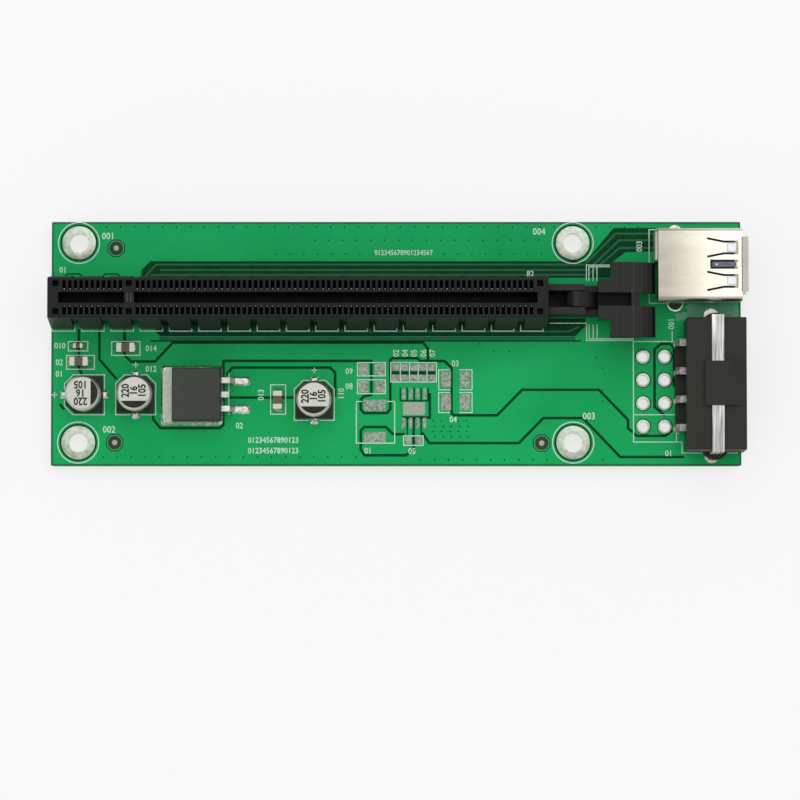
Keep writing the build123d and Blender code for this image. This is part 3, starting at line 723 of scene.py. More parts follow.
# %% Partings in the copper
parting_width, fine_width = 0.48, 0.26
partings = [
    [(-44.4, 2.6), (-44.4, -4.3), (-43.7, -5.8)],
    [(-40.7, 2.6), (-40.7, -2.8), (-37.6, -6.4)],
    [(-36.2, 2.6), (-36.2, -2.1), (-35.0, -3.2), (-30.7, -3.2), (-27.5, 0.2), (17.5, 0.2),
     (18.4, -0.9), (18.4, -3.0)],
    [(-31.0, -12.6), (-31.0, -13.6), (-29.7, -15.2), (-19.0, -15.2), (-18.4, -14.6),
     (-18.4, -3.1), (8.2, -3.1), (8.2, -9.2), (6.8, -9.5), (6.3, -10.1), (6.3, -11.8),
     (6.9, -12.5), (11.0, -12.5), (11.6, -11.8), (11.6, -2.9), (12.0, -2.6), (16.4, -2.6),
     (17.0, -3.1), (21.3, -3.1), (22.6, -4.3), (22.6, -12.5), (23.1, -12.9), (30.8, -12.9),
     (35.3, -8.3), (49.1, -8.3), (54.3, -13.7), (54.3, -15.2), (55.9, -16.6), (61.0, -16.6),
     (62.3, -15.6)],
    [(-17.8, -5.6), (-16.8, -4.3), (0.8, -4.3), (1.7, -5.2), (1.7, -9.6)],
    [(-17.5, -9.7), (-5.6, -9.7)],
    [(-47.8, -10.9), (-47.0, -11.8)],
    [(14.2, -16.3), (12.1, -16.3), (10.8, -15.0), (6.9, -15.0), (6.3, -15.7), (6.3, -19.1),
     (7.0, -20.1), (14.4, -20.1), (15.8, -19.0), (15.8, -13.3)],
    [(13.7, -13.3), (18.7, -13.3), (18.7, -8.9)],
    [(17.3, -16.0), (18.6, -17.9), (34.7, -17.9), (39.1, -13.4), (46.2, -13.4), (52.9, -20.4),
     (64.4, -20.4)],
    [(61.0, -13.0), (59.1, -11.4), (59.1, -1.0), (60.3, 0.0), (61.9, 0.0), (62.6, -0.7),
     (62.6, -7.8)],
]
fine_partings = [[(x, -7.9), (x, -10.3)] for x in (13.4, 14.65, 15.9, 17.15, 18.4)]
fine_partings += [[(x, -13.3), (x, -16.6)] for x in (14.65, 17.15)]
fine_partings += [[(-31.5, 0.5), (45.9, 0.5)], [(13.4, -10.3), (18.4, -10.3)]]
fine_partings += [[(x, 11.8), (x + 0.8, 12.6), (x + 3.0, 12.6), (x + 3.8, 11.8)]
                  for x in (-47.3, -40.5)]
dark_bands = [
    [(-33.2, 11.9), (-33.2, 13.3), (-31.6, 14.9), (46.8, 14.9), (51.8, 20.9), (59.4, 20.9),
     (59.4, 16.7), (53.9, 16.5), (51.4, 14.6), (51.4, 11.9)],
    [(-30.5, 4.6), (-30.5, 2.0), (-29.8, 1.35), (44.9, 1.35), (46.7, 3.2), (46.7, 4.6)],
    [(11.8, -4.93), (19.8, -4.93), (19.8, -5.55), (11.8, -5.55)],
]
shapes = [ribbon(points, parting_width, board_top, gap_level) for points in partings]
shapes += [ribbon(points, fine_width, board_top, gap_level) for points in fine_partings]
shapes += [plate(outline, board_top, gap_level) for outline in dark_bands]
join("copper_partings", shapes, gap_green)

# %% [markdown]
# The copper stops short of the saw cut, so a narrow dull border runs round the board. One closed
# ribbon makes it, a little way in from the edge of the solid.

# %% Border of the board
border_inset, border_width = 0.2, 0.34
outline = box_outline(board_left + border_inset, border_inset - board_half,
                      board_right - border_inset, board_half - border_inset)
border = ribbon(outline, border_width, board_top, gap_level, closed=True)
join("board_border", [border], line_green)

# %% [markdown]
# Data lines leave the slot along its sides and bend away to the serial-bus socket. They are
# narrow copper lines under the lacquer, paler than the bare laminate round them. They stand a
# hair higher than the dark bands, so that they show on top.

# %% Data lines
line_width, wide_line = 0.34, 1.6
data_lines = [
    [(-32.6, 12.0), (-30.6, 14.3), (46.6, 14.3), (52.2, 19.9), (59.3, 19.9)],
    [(-29.8, 13.3), (47.2, 13.3), (52.8, 18.7), (59.3, 18.7)],
    [(-31.6, 12.45), (47.2, 12.45), (52.9, 17.3), (59.3, 17.3)],
    [(-28.0, 2.2), (43.7, 2.2), (45.6, 3.1)],
]
supply_line = [(-30.0, 0.95), (44.9, 0.95)]
shapes = [ribbon(points, line_width, board_top, line_level) for points in data_lines]
shapes += [ribbon(supply_line, wide_line * line_width, board_top, line_level)]
join("data_lines", shapes, line_green)

# %% [markdown]
# Holes. The part's record lists its bolt patterns by name, with their middle, their spacing and
# the radius of a hole. Reading them there keeps every ring on its hole. The aiming marks aren't
# in the record, so their places are written here.

# %% Find the holes and the marks
aiming_marks = [(-37.75, 17.25), (-37.9, -17.8), (38.8, -17.9)]


def holes_of(name):
    """The hole centres and the hole radius of a bolt pattern in the record."""
    mount = next(mount for mount in frame["record"]["mounts"] if mount["name"] == name)
    x, y = mount["pos_m"][0] / mm, mount["pos_m"][1] / mm - board_middle
    sizes = mount["dims"]
    across, along = sizes["spacing_y_mm"] / 2, sizes["spacing_x_mm"] / 2
    centers = [(x + side * along, y + end * across) for side in (-1, 1) for end in (-1, 1)]
    return centers, sizes["hole_r_mm"]


mounting_holes, mounting_radius = holes_of("mounting_holes")
outer_holes, spare_radius = holes_of("spare_holes_outer")
spare_holes = outer_holes + holes_of("spare_holes_inner")[0]
print(len(mounting_holes), "mounting holes,", len(spare_holes), "spare holes")

# %% [markdown]
# Stitching holes tie the copper on both faces together. Under the lacquer they are small dark
# dots in rows along the long edges and loose groups near the parts that run warm. Real holes
# would cut the solid to lace for no gain, so low dark discs stand for them. Dots that would land
# on a mounting ring or an aiming mark are dropped.

# %% Stitching holes
stitch_pitch, stitch_radius, stitch_sides = 2.52, 0.14, 10
stitch_rows = [(21.1, -39.5, 58.0), (18.7, -2.0, 40.0), (16.2, -9.0, 40.0), (-20.4, -47.5, 5.6),
               (-20.9, 17.0, 50.0)]
warm_x, warm_y, warm_columns, warm_rows = 19.3, -13.9, 5, 4
warm_pitch, warm_row_pitch, warm_shift = 1.5, 0.95, 0.3
loose_dots = [(27.6, 0.0), (30.2, -1.4), (33.0, -1.4), (48.6, -2.5), (49.8, -4.4), (49.8, -8.3),
              (49.8, -10.4)]
ring_clear, mark_clear = 4.2, 1.8
dots = []
for y, start, end in stitch_rows:
    for step in range(int((end - start) / stitch_pitch) + 1):
        dots.append((start + step * stitch_pitch, y))
for column in range(warm_columns):
    for row in range(warm_rows):
        x = warm_x + column * warm_pitch + warm_shift * (row % 2)
        dots.append((x, warm_y - row * warm_row_pitch))
dots += loose_dots
keep_out = [(hole, ring_clear) for hole in mounting_holes]
keep_out += [(mark, mark_clear) for mark in aiming_marks]
dots = [dot for dot in dots if all(math.dist(dot, place) > clear for place, clear in keep_out)]
shapes = [disc(dot, stitch_radius, board_top, line_level, stitch_sides) for dot in dots]
join("stitching_holes", shapes, gap_green)

# %% [markdown]
# Mounting holes are plated: a tinned ring on each face and a thin metal barrel through the board.
# The spare holes for a second plug have smaller rings. Two rings and a tube could be joined, but
# one profile turned about the hole makes all three at once. The barrels line the CAD holes, a
# hair inside them, and a dark moat parts each ring from the sheet of copper.

# %% Plated holes
mounting_land, spare_land = 3.05, 1.28
mounting_moat, spare_moat = 0.3, 0.15
barrel_wall = 0.05
land_rise = 0.05
land_slope = 0.1


def plated_hole(center, hole, land):
    """Ring, barrel and ring in one turned piece."""
    low, high = -land_rise, board_top + land_rise
    bore = hole - barrel_wall
    profile = [(bore, low), (land - land_slope, low), (land, 0), (hole, 0), (hole, board_top),
               (land, board_top), (land - land_slope, high), (bore, high)]
    return sleeve(center, profile)


shapes = [plated_hole(hole, mounting_radius, mounting_land) for hole in mounting_holes]
shapes += [plated_hole(hole, spare_radius, spare_land) for hole in spare_holes]
join("plated_holes", shapes, land_tin, smooth=True)
shapes = [ring(hole, mounting_land, mounting_land + mounting_moat, board_top, gap_level)
          for hole in mounting_holes]
shapes += [ring(hole, spare_land, spare_land + spare_moat, board_top, gap_level)
           for hole in spare_holes]
join("hole_gaps", shapes, gap_green)

# %% [markdown]
# Three aiming marks help the machine that places the parts: a bright tinned dot in a window of
# the lacquer, through which the brownish laminate shows. An eight-sided copper rim keeps the
# window's edge sharp, and a moat parts the rim from the sheet of copper. Four thin layers, one
# over the other, show that better than one disc with painted rings.

# %% Aiming marks
window_radius, window_sides = 1.26, 32
rim_radius, rim_width = 1.4, 0.14
moat_radius, moat_width = 1.58, 0.2
dot_radius, dot_crown = 0.52, 0.02


def eight_sided(center, radius, width, level):
    """A closed eight-sided line round a mark, with flat sides to the board's edges."""
    return ribbon(circle(center, radius, 8, 0.5), width, board_top, level, closed=True)


windows = [disc(mark, window_radius, board_top, gap_level, window_sides) for mark in aiming_marks]
rims = [eight_sided(mark, rim_radius, rim_width, line_level) for mark in aiming_marks]
moats = [eight_sided(mark, moat_radius, moat_width, gap_level) for mark in aiming_marks]
dot_profile = [(dot_radius, board_top), (0.9 * dot_radius, pad_level),
               (0.4 * dot_radius, pad_level + dot_crown)]
dots = [turned(mark, dot_profile) for mark in aiming_marks]
join("aiming_windows", windows, window_and_shade_brown)
join("aiming_rims", rims, rim_green)
join("aiming_moats", moats, gap_green)
join("aiming_dots", dots, dull_tin)

# %% [markdown]
# Empty places for parts keep their tinned pads. The tin was blown level with hot air, so each
# pad is a low cushion with soft edges and an uneven surface. A flat plate would catch the light
# all at once; the slope round its rim is what makes it look like tin.

# %% Empty pads
def cushion(x0, y0, x1, y1, rise=0.05, soft=0.12):
    """A pad with a rounded-over rim."""
    outline = box_outline(x0, y0, x1, y1)
    inner = box_outline(x0 + soft, y0 + soft, x1 - soft, y1 - soft)
    return stack([(outline, board_top), (outline, board_top + rise * 0.6),
                  (inner, board_top + rise)])


# Each group: width and depth of a pad, the pads' left edges, and their upper edges.
pad_groups = [
    (1.8, 2.1, (5.9, 8.8), (-3.6, -6.7)),
    (4.0, 2.0, (6.8,), (-10.1, -15.9)),
    (1.32, 1.2, (11.84, 13.46, 15.09, 16.74, 18.39), (-3.7, -5.6)),
    (0.6, 1.9, (13.7, 15.0, 16.2, 17.5), (-8.05, -13.35)),
    (1.8, 2.9, (20.7, 24.1), (-5.0, -9.1)),
    (1.1, 1.3, (14.3, 16.1), (-16.8,)),
]
pads = [cushion(left, upper - depth, left + width, upper)
        for width, depth, lefts, uppers in pad_groups for left in lefts for upper in uppers]
join("empty_pads", pads, bare_tin)
cooling_pad = cushion(13.9, -12.85, 17.85, -10.55)
join("cooling_pad", [cooling_pad], dull_tin)

# %% [markdown]
# White print. A screen-printed line is about 0.15 mm wide. It frames the parts and the empty
# places, and a circle runs round each mounting hole. A ribbon is just such a line, and a list of
# corners is enough for each frame.

# %% Printed frames
ink_width = 0.16
hole_circle, circle_sides = 3.62, 64


def printed(points, closed=False):
    """A printed line."""
    return ribbon(points, ink_width, board_top, ink_level, closed)


frames = [
    (-46.3, -1.3, -42.8, 0.4), (-46.6, -4.6, -41.6, -2.1), (-38.5, -2.1, -33.4, 0.4),
    (-9.9, -12.7, -7.2, -7.4), (5.7, -5.8, 10.7, -3.4), (5.7, -9.0, 10.7, -6.5),
    (11.7, -6.9, 19.9, -3.4), (14.0, -18.3, 17.5, -16.6), (55.3, -17.7, 63.0, 0.4),
]
lines = [[(x, -6.9), (x, -3.4)] for x in (13.4, 15.05, 16.6, 18.2)]
lines += [[(55.3, -12.8), (63.0, -12.8)], [(-17.4, -5.3), (-17.4, -12.8)]]
lines += [[(5.5, -10.4), (5.5, -17.9), (12.4, -17.9), (12.4, -10.4)]]
lines += [[(5.5, -10.4), (6.5, -10.4)], [(11.0, -10.4), (12.4, -10.4)]]
for low, high in ((-8.3, -4.7), (-12.4, -8.8)):
    lines += [[(22.4, high), (20.3, high), (20.3, low), (22.4, low)]]
    lines += [[(24.0, high), (26.3, high), (26.3, low), (24.0, low)]]
shapes = [printed(box_outline(*corners), closed=True) for corners in frames]
shapes += [printed(points) for points in lines]
shapes += [ring(hole, hole_circle, hole_circle + ink_width, board_top, ink_level, circle_sides)
           for hole in mounting_holes]
join("printed_frames", shapes, white_ink)

# %% [markdown]
# Beside the slot the print is a row of open brackets, one for each skirt of the moulding, and at
# the latch it is a double frame. The brackets are evenly spaced, so a loop makes them from the
# first and the last, and the two halves of the frame are mirror images about the slot's middle.

# %% Printed lines round the slot
bracket_count, bracket_length = 17, 4.05
bracket_reach, bracket_arm, last_bracket = 5.12, 1.1, 4.65
frame_start, inner_start, bars = 46.9, 47.35, (48.1, 48.8)
frame_reaches = (3.9, 6.8, 6.5)
frame_ends = {1: 51.3, -1: 55.4}
foot_line_start, foot_line_reach = 40.2, 3.7


def evenly(first, last, count):
    """Numbers at equal steps from the first to the last."""
    return [first + (last - first) * step / (count - 1) for step in range(count)]


slot_end = span("slot_wall_north")[1].x
slot_middle = middle_of("slot_housing")[1]
far, near = slot_middle - bracket_reach, slot_middle - bracket_reach + bracket_arm
shapes = []
for start in evenly(board_left + ink_width, slot_end - last_bracket, bracket_count):
    end = start + bracket_length
    shapes += [printed([(start, near), (start, far), (end, far), (end, near)])]
for side, end in frame_ends.items():
    near, far, inner = (slot_middle + side * reach for reach in frame_reaches)
    shapes += [printed([(frame_start, near), (frame_start, far), (end, far)])]
    shapes += [printed([(inner_start, near), (inner_start, inner), (end, inner)])]
    shapes += [printed([(x, near), (x, inner)]) for x in bars]
foot_line = slot_middle - foot_line_reach
shapes += [printed([(foot_line_start, foot_line), (frame_start, foot_line)])]
join("printed_slot_lines", shapes, white_ink)

# %% [markdown]
# The serial-bus socket and the power inlet cover most of their own frames. Only the lines that
# look out beside them are printed here, since nothing under a part is ever seen.

# %% Printed lines round the sockets
socket_lines = [
    [(58.2, 7.3), (58.2, 20.6), (74.0, 20.6)],
    [(58.2, 7.3), (61.2, 7.3)],
    [(62.3, 2.3), (62.3, 0.4)],
    [(63.0, -17.7), (64.0, -17.7), (64.0, -19.65), (74.0, -19.65)],
]
shapes = [printed(points) for points in socket_lines]
join("printed_socket_lines", shapes, white_ink)

# %% [markdown]
# Each can stands in a frame with two cut corners, open where its tabs come out, and a plus marks
# its positive side. The cans are the same but turned, so the frame is drawn once about the middle
# of a can and then turned with it.

# %% Printed outlines of the cans
can_turns = {1: 180, 2: 90, 3: 90}
frame_room, frame_cut, frame_gap = 0.3, 1.6, 0.9
plus_place, plus_arm = 5.4, 0.5


def turned_about(center, turn, points):
    """Points drawn about a middle, turned and put in place."""
    spin = Matrix.Rotation(math.radians(turn), 2)
    return [tuple(Vector(center) + spin @ Vector(point)) for point in points]


shapes = []
for number, turn in can_turns.items():
    low, high = span(f"can_base_{number}")
    center = middle_of(f"can_base_{number}")
    half = (high.x - low.x) / 2 + frame_room
    lines = []
    for side in (1, -1):
        lines.append([(half, side * frame_gap), (half, side * (half - frame_cut)),
                      (half - frame_cut, side * half), (-half, side * half),
                      (-half, side * frame_gap)])
    lines.append([(plus_place - plus_arm, 0), (plus_place + plus_arm, 0)])
    lines.append([(plus_place, -plus_arm), (plus_place, plus_arm)])
    shapes += [printed(turned_about(center, turn, points)) for points in lines]
join("printed_can_frames", shapes, white_ink)

# %% [markdown]
# Numbers come from Blender's own font, turned into a mesh as thin as ink; drawing each figure by
# hand would take far longer. The board counts its parts, its holes and the slot's first and last
# contact, and three longer rows simply count from nought.

# %% A plain number
def numeral(text, center, size, turn, low, high, width=0.9, weight=0.012):
    """A number as a thin plate, read along a direction turned from +X by so many degrees."""
    curve = bpy.data.curves.new("numeral", "FONT")
    curve.body = text
    curve.align_x, curve.align_y = "CENTER", "CENTER"
    curve.resolution_u = 2
    curve.extrude = 0.01
    curve.offset = weight
    holder = bpy.data.objects.new("numeral", curve)
    bpy.context.collection.objects.link(holder)
    mesh = bpy.data.meshes.new_from_object(holder)
    flat = [(corner.co.x * size * width, corner.co.y * size) for corner in mesh.vertices]
    levels = [high if corner.co.z > 0 else low for corner in mesh.vertices]
    corners = [(x, y, z) for (x, y), z in zip(turned_about(center, turn, flat), levels)]
    faces = [tuple(face.vertices) for face in mesh.polygons]
    bpy.data.objects.remove(holder)
    bpy.data.curves.remove(curve)
    bpy.data.meshes.remove(mesh)
    return corners, faces


part_size, hole_size, code_size, slim_size = 1.5, 1.7, 1.45, 1.3
part_numbers = [
    ("010", (-47.8, -0.4), 0), ("02", (-47.9, -3.4), 0), ("01", (-47.9, -5.5), 0),
    ("014", (-31.4, -0.9), 0), ("012", (-31.4, -4.6), 0), ("02", (-15.5, -14.8), 0),
    ("013", (-11.6, -9.2), 90), ("011", (2.7, -9.0), -90), ("09", (4.2, -5.0), 0),
    ("08", (4.2, -7.7), 0), ("03", (23.3, -3.6), 0), ("04", (22.9, -13.7), 0),
    ("05", (15.5, -19.4), 0), ("01", (7.6, -19.3), 0), ("01", (61.6, -19.8), 0),
    ("003", (56.5, 17.6), 90), ("02", (12.7, -1.7), 90), ("04", (14.3, -1.7), 90),
    ("05", (15.9, -1.7), 90), ("06", (17.6, -1.7), 90), ("07", (19.2, -1.7), 90),
    ("01", (-47.3, 13.3), 0), ("82", (36.8, 12.6), 0), ("001", (62.2, 3.6), 90),
]
hole_numbers = [("001", (-39.2, 19.4)), ("002", (-38.9, -15.5)), ("003", (47.3, -13.1)),
                ("004", (38.4, 20.2))]
code_rows = [("01234567890123", (-9.4, -17.4), code_size),
             ("01234567890123", (-9.4, -19.3), code_size),
             ("012345678901234567", (14.0, 16.4), slim_size)]
labels = [(text, place, part_size, turn) for text, place, turn in part_numbers]
labels += [(text, place, hole_size, 0) for text, place in hole_numbers]
labels += [(text, place, size, 0) for text, place, size in code_rows]
shapes = [numeral(*label, board_top, ink_level) for label in labels]
join("printed_numbers", shapes, white_ink)

# %% [markdown]
# The cans carry a black half-moon over the negative side and their rating in three rows of plain
# numbers. On the real can both are stamped on the crimped top. The half-moon is a plate cut from
# a circle by one straight line, and everything turns with its can.

# %% Print on the cans
moon_inset, moon_angle, moon_points = 0.42, 58, 25
can_ink = 0.012
rating_rows = [("220", 1.5), ("16", 0.0), ("105", -1.5)]
rating_shift, rating_size, rating_width, rating_weight = 0.35, 1.9, 0.86, 0.03
for number, turn in can_turns.items():
    low, high = span(f"can_body_{number}")
    center = middle_of(f"can_body_{number}")
    can_top, ink_top = high.z, high.z + can_ink
    radius = (high.x - low.x) / 2 - moon_inset
    ends = [math.radians(180 + side * moon_angle) for side in (-1, 1)]
    moon = [(radius * math.cos(angle), radius * math.sin(angle))
            for angle in evenly(*ends, moon_points)]
    shapes = [plate(turned_about(center, turn, moon), can_top, ink_top)]
    for text, row in rating_rows:
        spot = turned_about(center, turn, [(rating_shift, row)])[0]
        shapes += [numeral(text, spot, rating_size, turn, can_top, ink_top,
                           rating_width, rating_weight)]
    join(f"can_print_{number}", shapes, black_ink)

# %% [markdown]
# The slot's contacts stand 1 mm apart in two rows, eleven before the key and the rest behind it.
# The outermost springs touch the ends of their node's box, so every contact can be counted off
# from there. All the fine work on the slot starts from these places.

# %% Find the slot's contacts
contacts_before_key, contacts_after_key = 11, 71
contact_half = 0.21
spring_low, spring_high = span("slot_contacts_north")
first_spring, last_spring = spring_low.x + contact_half, spring_high.x - contact_half
before_key = [first_spring + step for step in range(contacts_before_key)]
after_key = [last_spring - step for step in range(contacts_after_key)]


def beside_gap(side, near, far):
    """The two edges of a strip along one side of the card gap, the lower first."""
    return sorted(slot_middle + side * reach for reach in (near, far))


print(len(before_key) + len(after_key), "contacts in each row")

# %% [markdown]
# Beside the card gap each row of pockets ends in a thin lip. It is too fine to matter to the
# solids, so it is laid on here: four long bars, one on each side before and behind the key.

# %% Lips of the slot
lip_near, lip_far, lip_overhang = 1.0, 1.38, 0.6
lip_height, lip_drop = 0.4, 0.06
lip_top = slot_top - lip_drop
lips = []
for side in (1, -1):
    y0, y1 = beside_gap(side, lip_near, lip_far)
    for row in (before_key, after_key):
        outline = box_outline(min(row) - lip_overhang, y0, max(row) + lip_overhang, y1)
        lips.append(plate(outline, lip_top - lip_height, lip_top))
join("slot_lips", lips, slot_black)

# %% [markdown]
# Over the lips the tips of the springs look out as a row of bright dots. Each tip is the folded
# end of a spring, so a small block with a narrower crown shows it, repeated at every contact.

# %% Spring tips of the slot
tip_half, tip_near, tip_far = 0.16, 1.46, 1.64
tip_drop, tip_height, tip_fold = 0.66, 0.22, 0.05
tip_foot = slot_top - tip_drop
tips = []
for side in (1, -1):
    y0, y1 = beside_gap(side, tip_near, tip_far)
    for x in before_key + after_key:
        foot = box_outline(x - tip_half, y0, x + tip_half, y1)
        crown = box_outline(x - tip_half / 2, y0 + tip_fold, x + tip_half / 2, y1 - tip_fold)
        tips.append(stack([(foot, tip_foot), (foot, tip_foot + tip_height * 0.7),
                           (crown, tip_foot + tip_height)]))
join("spring_tips", tips, tin)

# %% [markdown]
# The key, which keeps a card from going in the wrong way round, has two rounded ridges. Their
# greyer black is a painted highlight that shows as two grey lines. Each is a bar that narrows
# upwards, seated on top of the key.

# %% Ridges on the key
key_drop, ridge_height = 0.5, 0.22
ridge_offset, ridge_foot, ridge_crown = 0.32, 0.26, 0.1
key_middle = (max(before_key) + min(after_key)) / 2
key_top = slot_top - key_drop
ridges = []
for x in (key_middle - ridge_offset, key_middle + ridge_offset):
    foot, crown = (box_outline(x - half, slot_middle - lip_near, x + half, slot_middle + lip_near)
                   for half in (ridge_foot, ridge_crown))
    ridges.append(stack([(foot, key_top), (crown, key_top + ridge_height)]))
# Greyer black on the ridges: a painted highlight.
join("key_ridges", ridges, painted_highlight_black)

# %% [markdown]
# The edges of the latch's step, its fold and its grip ribs catch the light. A painted highlight, a
# thin grey line along each edge, shows that; it is sharper than it would be in the material. The
# lines ride on the latch and swing with it.

# %% Painted highlights on the edges of the latch
latch_low, latch_high = span("slot_latch")
latch_middle = (latch_low.y + latch_high.y) / 2
wing_near, wing_far = 1.25, (latch_high.y - latch_low.y) / 2 - 0.05
wing_level, wing_end_level, wing_end = 9.25, 7.2, latch_high.x
step_line, fold_line = wing_end - 6.8, wing_end - 3.95
rib_count, rib_rise = 4, 0.09
highlight_half, highlight_rise = 0.06, 0.03


def wing_height(x):
    """The level of a wing where it slopes down from the fold to its end."""
    return wing_level + (wing_end_level - wing_level) * (x - fold_line) / (wing_end - fold_line)


highlighted_edges = [(step_line + highlight_half, wing_level), (fold_line - highlight_half, wing_level)]
ribs = evenly(fold_line, wing_end, rib_count + 2)[1:-1]
highlighted_edges += [(x, wing_height(x) + rib_rise) for x in ribs]
shapes = []
for x, level in highlighted_edges:
    for side in (1, -1):
        y0, y1 = sorted(latch_middle + side * reach for reach in (wing_near, wing_far))
        line = box_outline(x - highlight_half, y0, x + highlight_half, y1)
        shapes.append(plate(line, level, level + highlight_rise))
# Grey lines along the latch's edges: painted highlights.
join("latch_edge_highlights", shapes, painted_highlight_black, "latch")

# %% [markdown]
# The socket's springs end in pressed pads that touch the plug. Each is a low dish of the same
# sheet, and its paler, cooler tone is a painted reflection of the tilted dish. Pressing them into
# the shell would change the solid, so a plate that narrows upwards sits on each spring.

# %% Spring pads of the socket
socket_low, socket_high = span("usb_shell")
front_lip, shell_top = 1.05, 8.6
socket_front = socket_high.x - front_lip
socket_middle = (socket_low.y + socket_high.y) / 2
spring_offset, dish_rise = 3.0, 0.06
dish_rear, dish_front, dish_half = 2.75, 1.0, 0.78
crown_rear, crown_front, crown_half = 2.6, 1.15, 0.62
shapes = []
for y in (socket_middle - spring_offset, socket_middle + spring_offset):
    foot = box_outline(socket_front - dish_rear, y - dish_half,
                       socket_front - dish_front, y + dish_half)
    crown = box_outline(socket_front - crown_rear, y - crown_half,
                        socket_front - crown_front, y + crown_half)
    shapes.append(stack([(foot, shell_top), (crown, shell_top + dish_rise)]))
# Paler, cooler nickel on the pads: a painted reflection.
join("spring_pads", shapes, painted_reflection_nickel)

# %% [markdown]
# The finger between the springs is bent down into the shell. A thin slanted skin of dark nickel on
# it is painted shade, while the rest of the shell stays bright. The small dimple that grips the
# plug is a paler spot near its free end, a painted highlight.

# %% Finger of the socket
finger_front, finger_rear = socket_front - 0.75, socket_front - 5.35
finger_half, finger_drop = 0.42, 0.4
skin, skin_inset = 0.02, 0.3
dimple_x, dimple_radius, dimple_sides = finger_rear + 0.75, 0.2, 16


def finger_level(x):
    """The level of the finger, which slopes down towards its free end."""
    return shell_top - finger_drop * (finger_front - x) / (finger_front - finger_rear)


outline = box_outline(finger_rear, socket_middle - finger_half,
                      finger_front - skin_inset, socket_middle + finger_half)
corners = [(x, y, finger_level(x) + lift) for lift in (0.0, skin) for x, y in outline]
faces = plate(outline, 0.0, skin)[1]
# Dark nickel skin on the bent finger: painted shade.
join("socket_finger", [(corners, faces)], painted_shade_nickel)
level = finger_level(dimple_x)
dimple = [(dimple_radius, level - skin), (dimple_radius, level + 2 * skin),
          (0.6 * dimple_radius, level + 4 * skin)]
dimple = turned((dimple_x, socket_middle), dimple, dimple_sides)
# Pale nickel dimple: a painted highlight.
join("finger_dimple", [dimple], painted_reflection_nickel)

# %% [markdown]
# At its mouth the shell is bent into a lip, and a dark line along the bend is painted shade in the
# crease. Behind the shell stands the edge of the folded back plate, duller than the shell. Both are
# narrow plates; the back plate narrows at the top, where the fold rounds it.

# %% Lip crease and back plate of the socket
crease_rear, crease_front, crease_half = 0.14, 0.02, 4.9
crease_depth, crease_rise = 0.1, 0.01
outline = box_outline(socket_front - crease_rear, socket_middle - crease_half,
                      socket_front + crease_front, socket_middle + crease_half)
crease = plate(outline, shell_top - crease_depth, shell_top + crease_rise)
# Dark line in the lip's crease: painted shade.
join("lip_crease", [crease], painted_shade_nickel)
back_high, back_fold, back_clear = 7.6, 0.15, 0.05
back_depth, back_south, back_north = 0.6, 0.75, 0.5
fold_depth, fold_south, fold_north = 0.45, 0.95, 0.7
back_front = socket_low.x - back_clear
foot = box_outline(socket_low.x - back_depth, socket_middle + back_south,
                   back_front, socket_high.y - back_north)
crown = box_outline(socket_low.x - fold_depth, socket_middle + fold_south,
                    back_front, socket_high.y - fold_north)
back_plate = stack([(foot, board_top), (foot, back_high), (crown, back_high + back_fold)])
join("socket_back", [back_plate], tab_tin)

# %% [markdown]
# Solder. Tin runs up every lead and leaves a hollow fillet. On the upper face it shows as a ragged
# pool round the regulator's tab and at the ends of the small parts. The rim of a pool wavers: two
# sine waves of different length, added to a rounded box, give that without any random numbers.

# %% A pool of solder
long_waves, short_waves, short_share = 5, 13, 0.7


def pool(x0, y0, x1, y1, rise, slope, ragged=0.05, count=64, square=8):
    """A pool with a wavering rim and hollow sides; the squarer, the sharper its corners."""
    center = ((x0 + x1) / 2, (y0 + y1) / 2)
    half_x, half_y = (x1 - x0) / 2, (y1 - y0) / 2
    levels = []
    for inset, height in ((0.0, 0.0), (slope * 0.4, rise * 0.35), (slope, rise)):
        outline = []
        for step in range(count):
            turn = 2 * math.pi * step / count
            along, across = math.cos(turn), math.sin(turn)
            reach = (abs(along) ** square + abs(across) ** square) ** (-1 / square)
            wave = math.sin(long_waves * turn + x0)
            wave = ragged * (wave + short_share * math.sin(short_waves * turn + y0))
            outline.append((center[0] + along * reach * (half_x - inset + wave),
                            center[1] + across * reach * (half_y - inset + wave)))
        levels.append((outline, board_top + height))
    return stack(levels)


def end_pools(node, reach, overlap, room, rise, slope, ragged=0.03):
    """A pool at each end of a small part, along its longer side."""
    low, high = span(node)
    pools = []
    if high.x - low.x > high.y - low.y:
        for x0, x1 in ((low.x - reach, low.x + overlap), (high.x - overlap, high.x + reach)):
            pools.append(pool(x0, low.y - room, x1, high.y + room, rise, slope, ragged))
    else:
        for y0, y1 in ((low.y - reach, low.y + overlap), (high.y - overlap, high.y + reach)):
            pools.append(pool(low.x - room, y0, high.x + room, y1, rise, slope, ragged))
    return pools


print("pool, end_pools")

# %% [markdown]
# The regulator's tab sits in the widest pool, with square corners, because its pad is only a little
# larger than the tab. Its two outer leads, the chips and the tabs of the cans have small ones. Each
# pool takes its place from the solid that it holds.

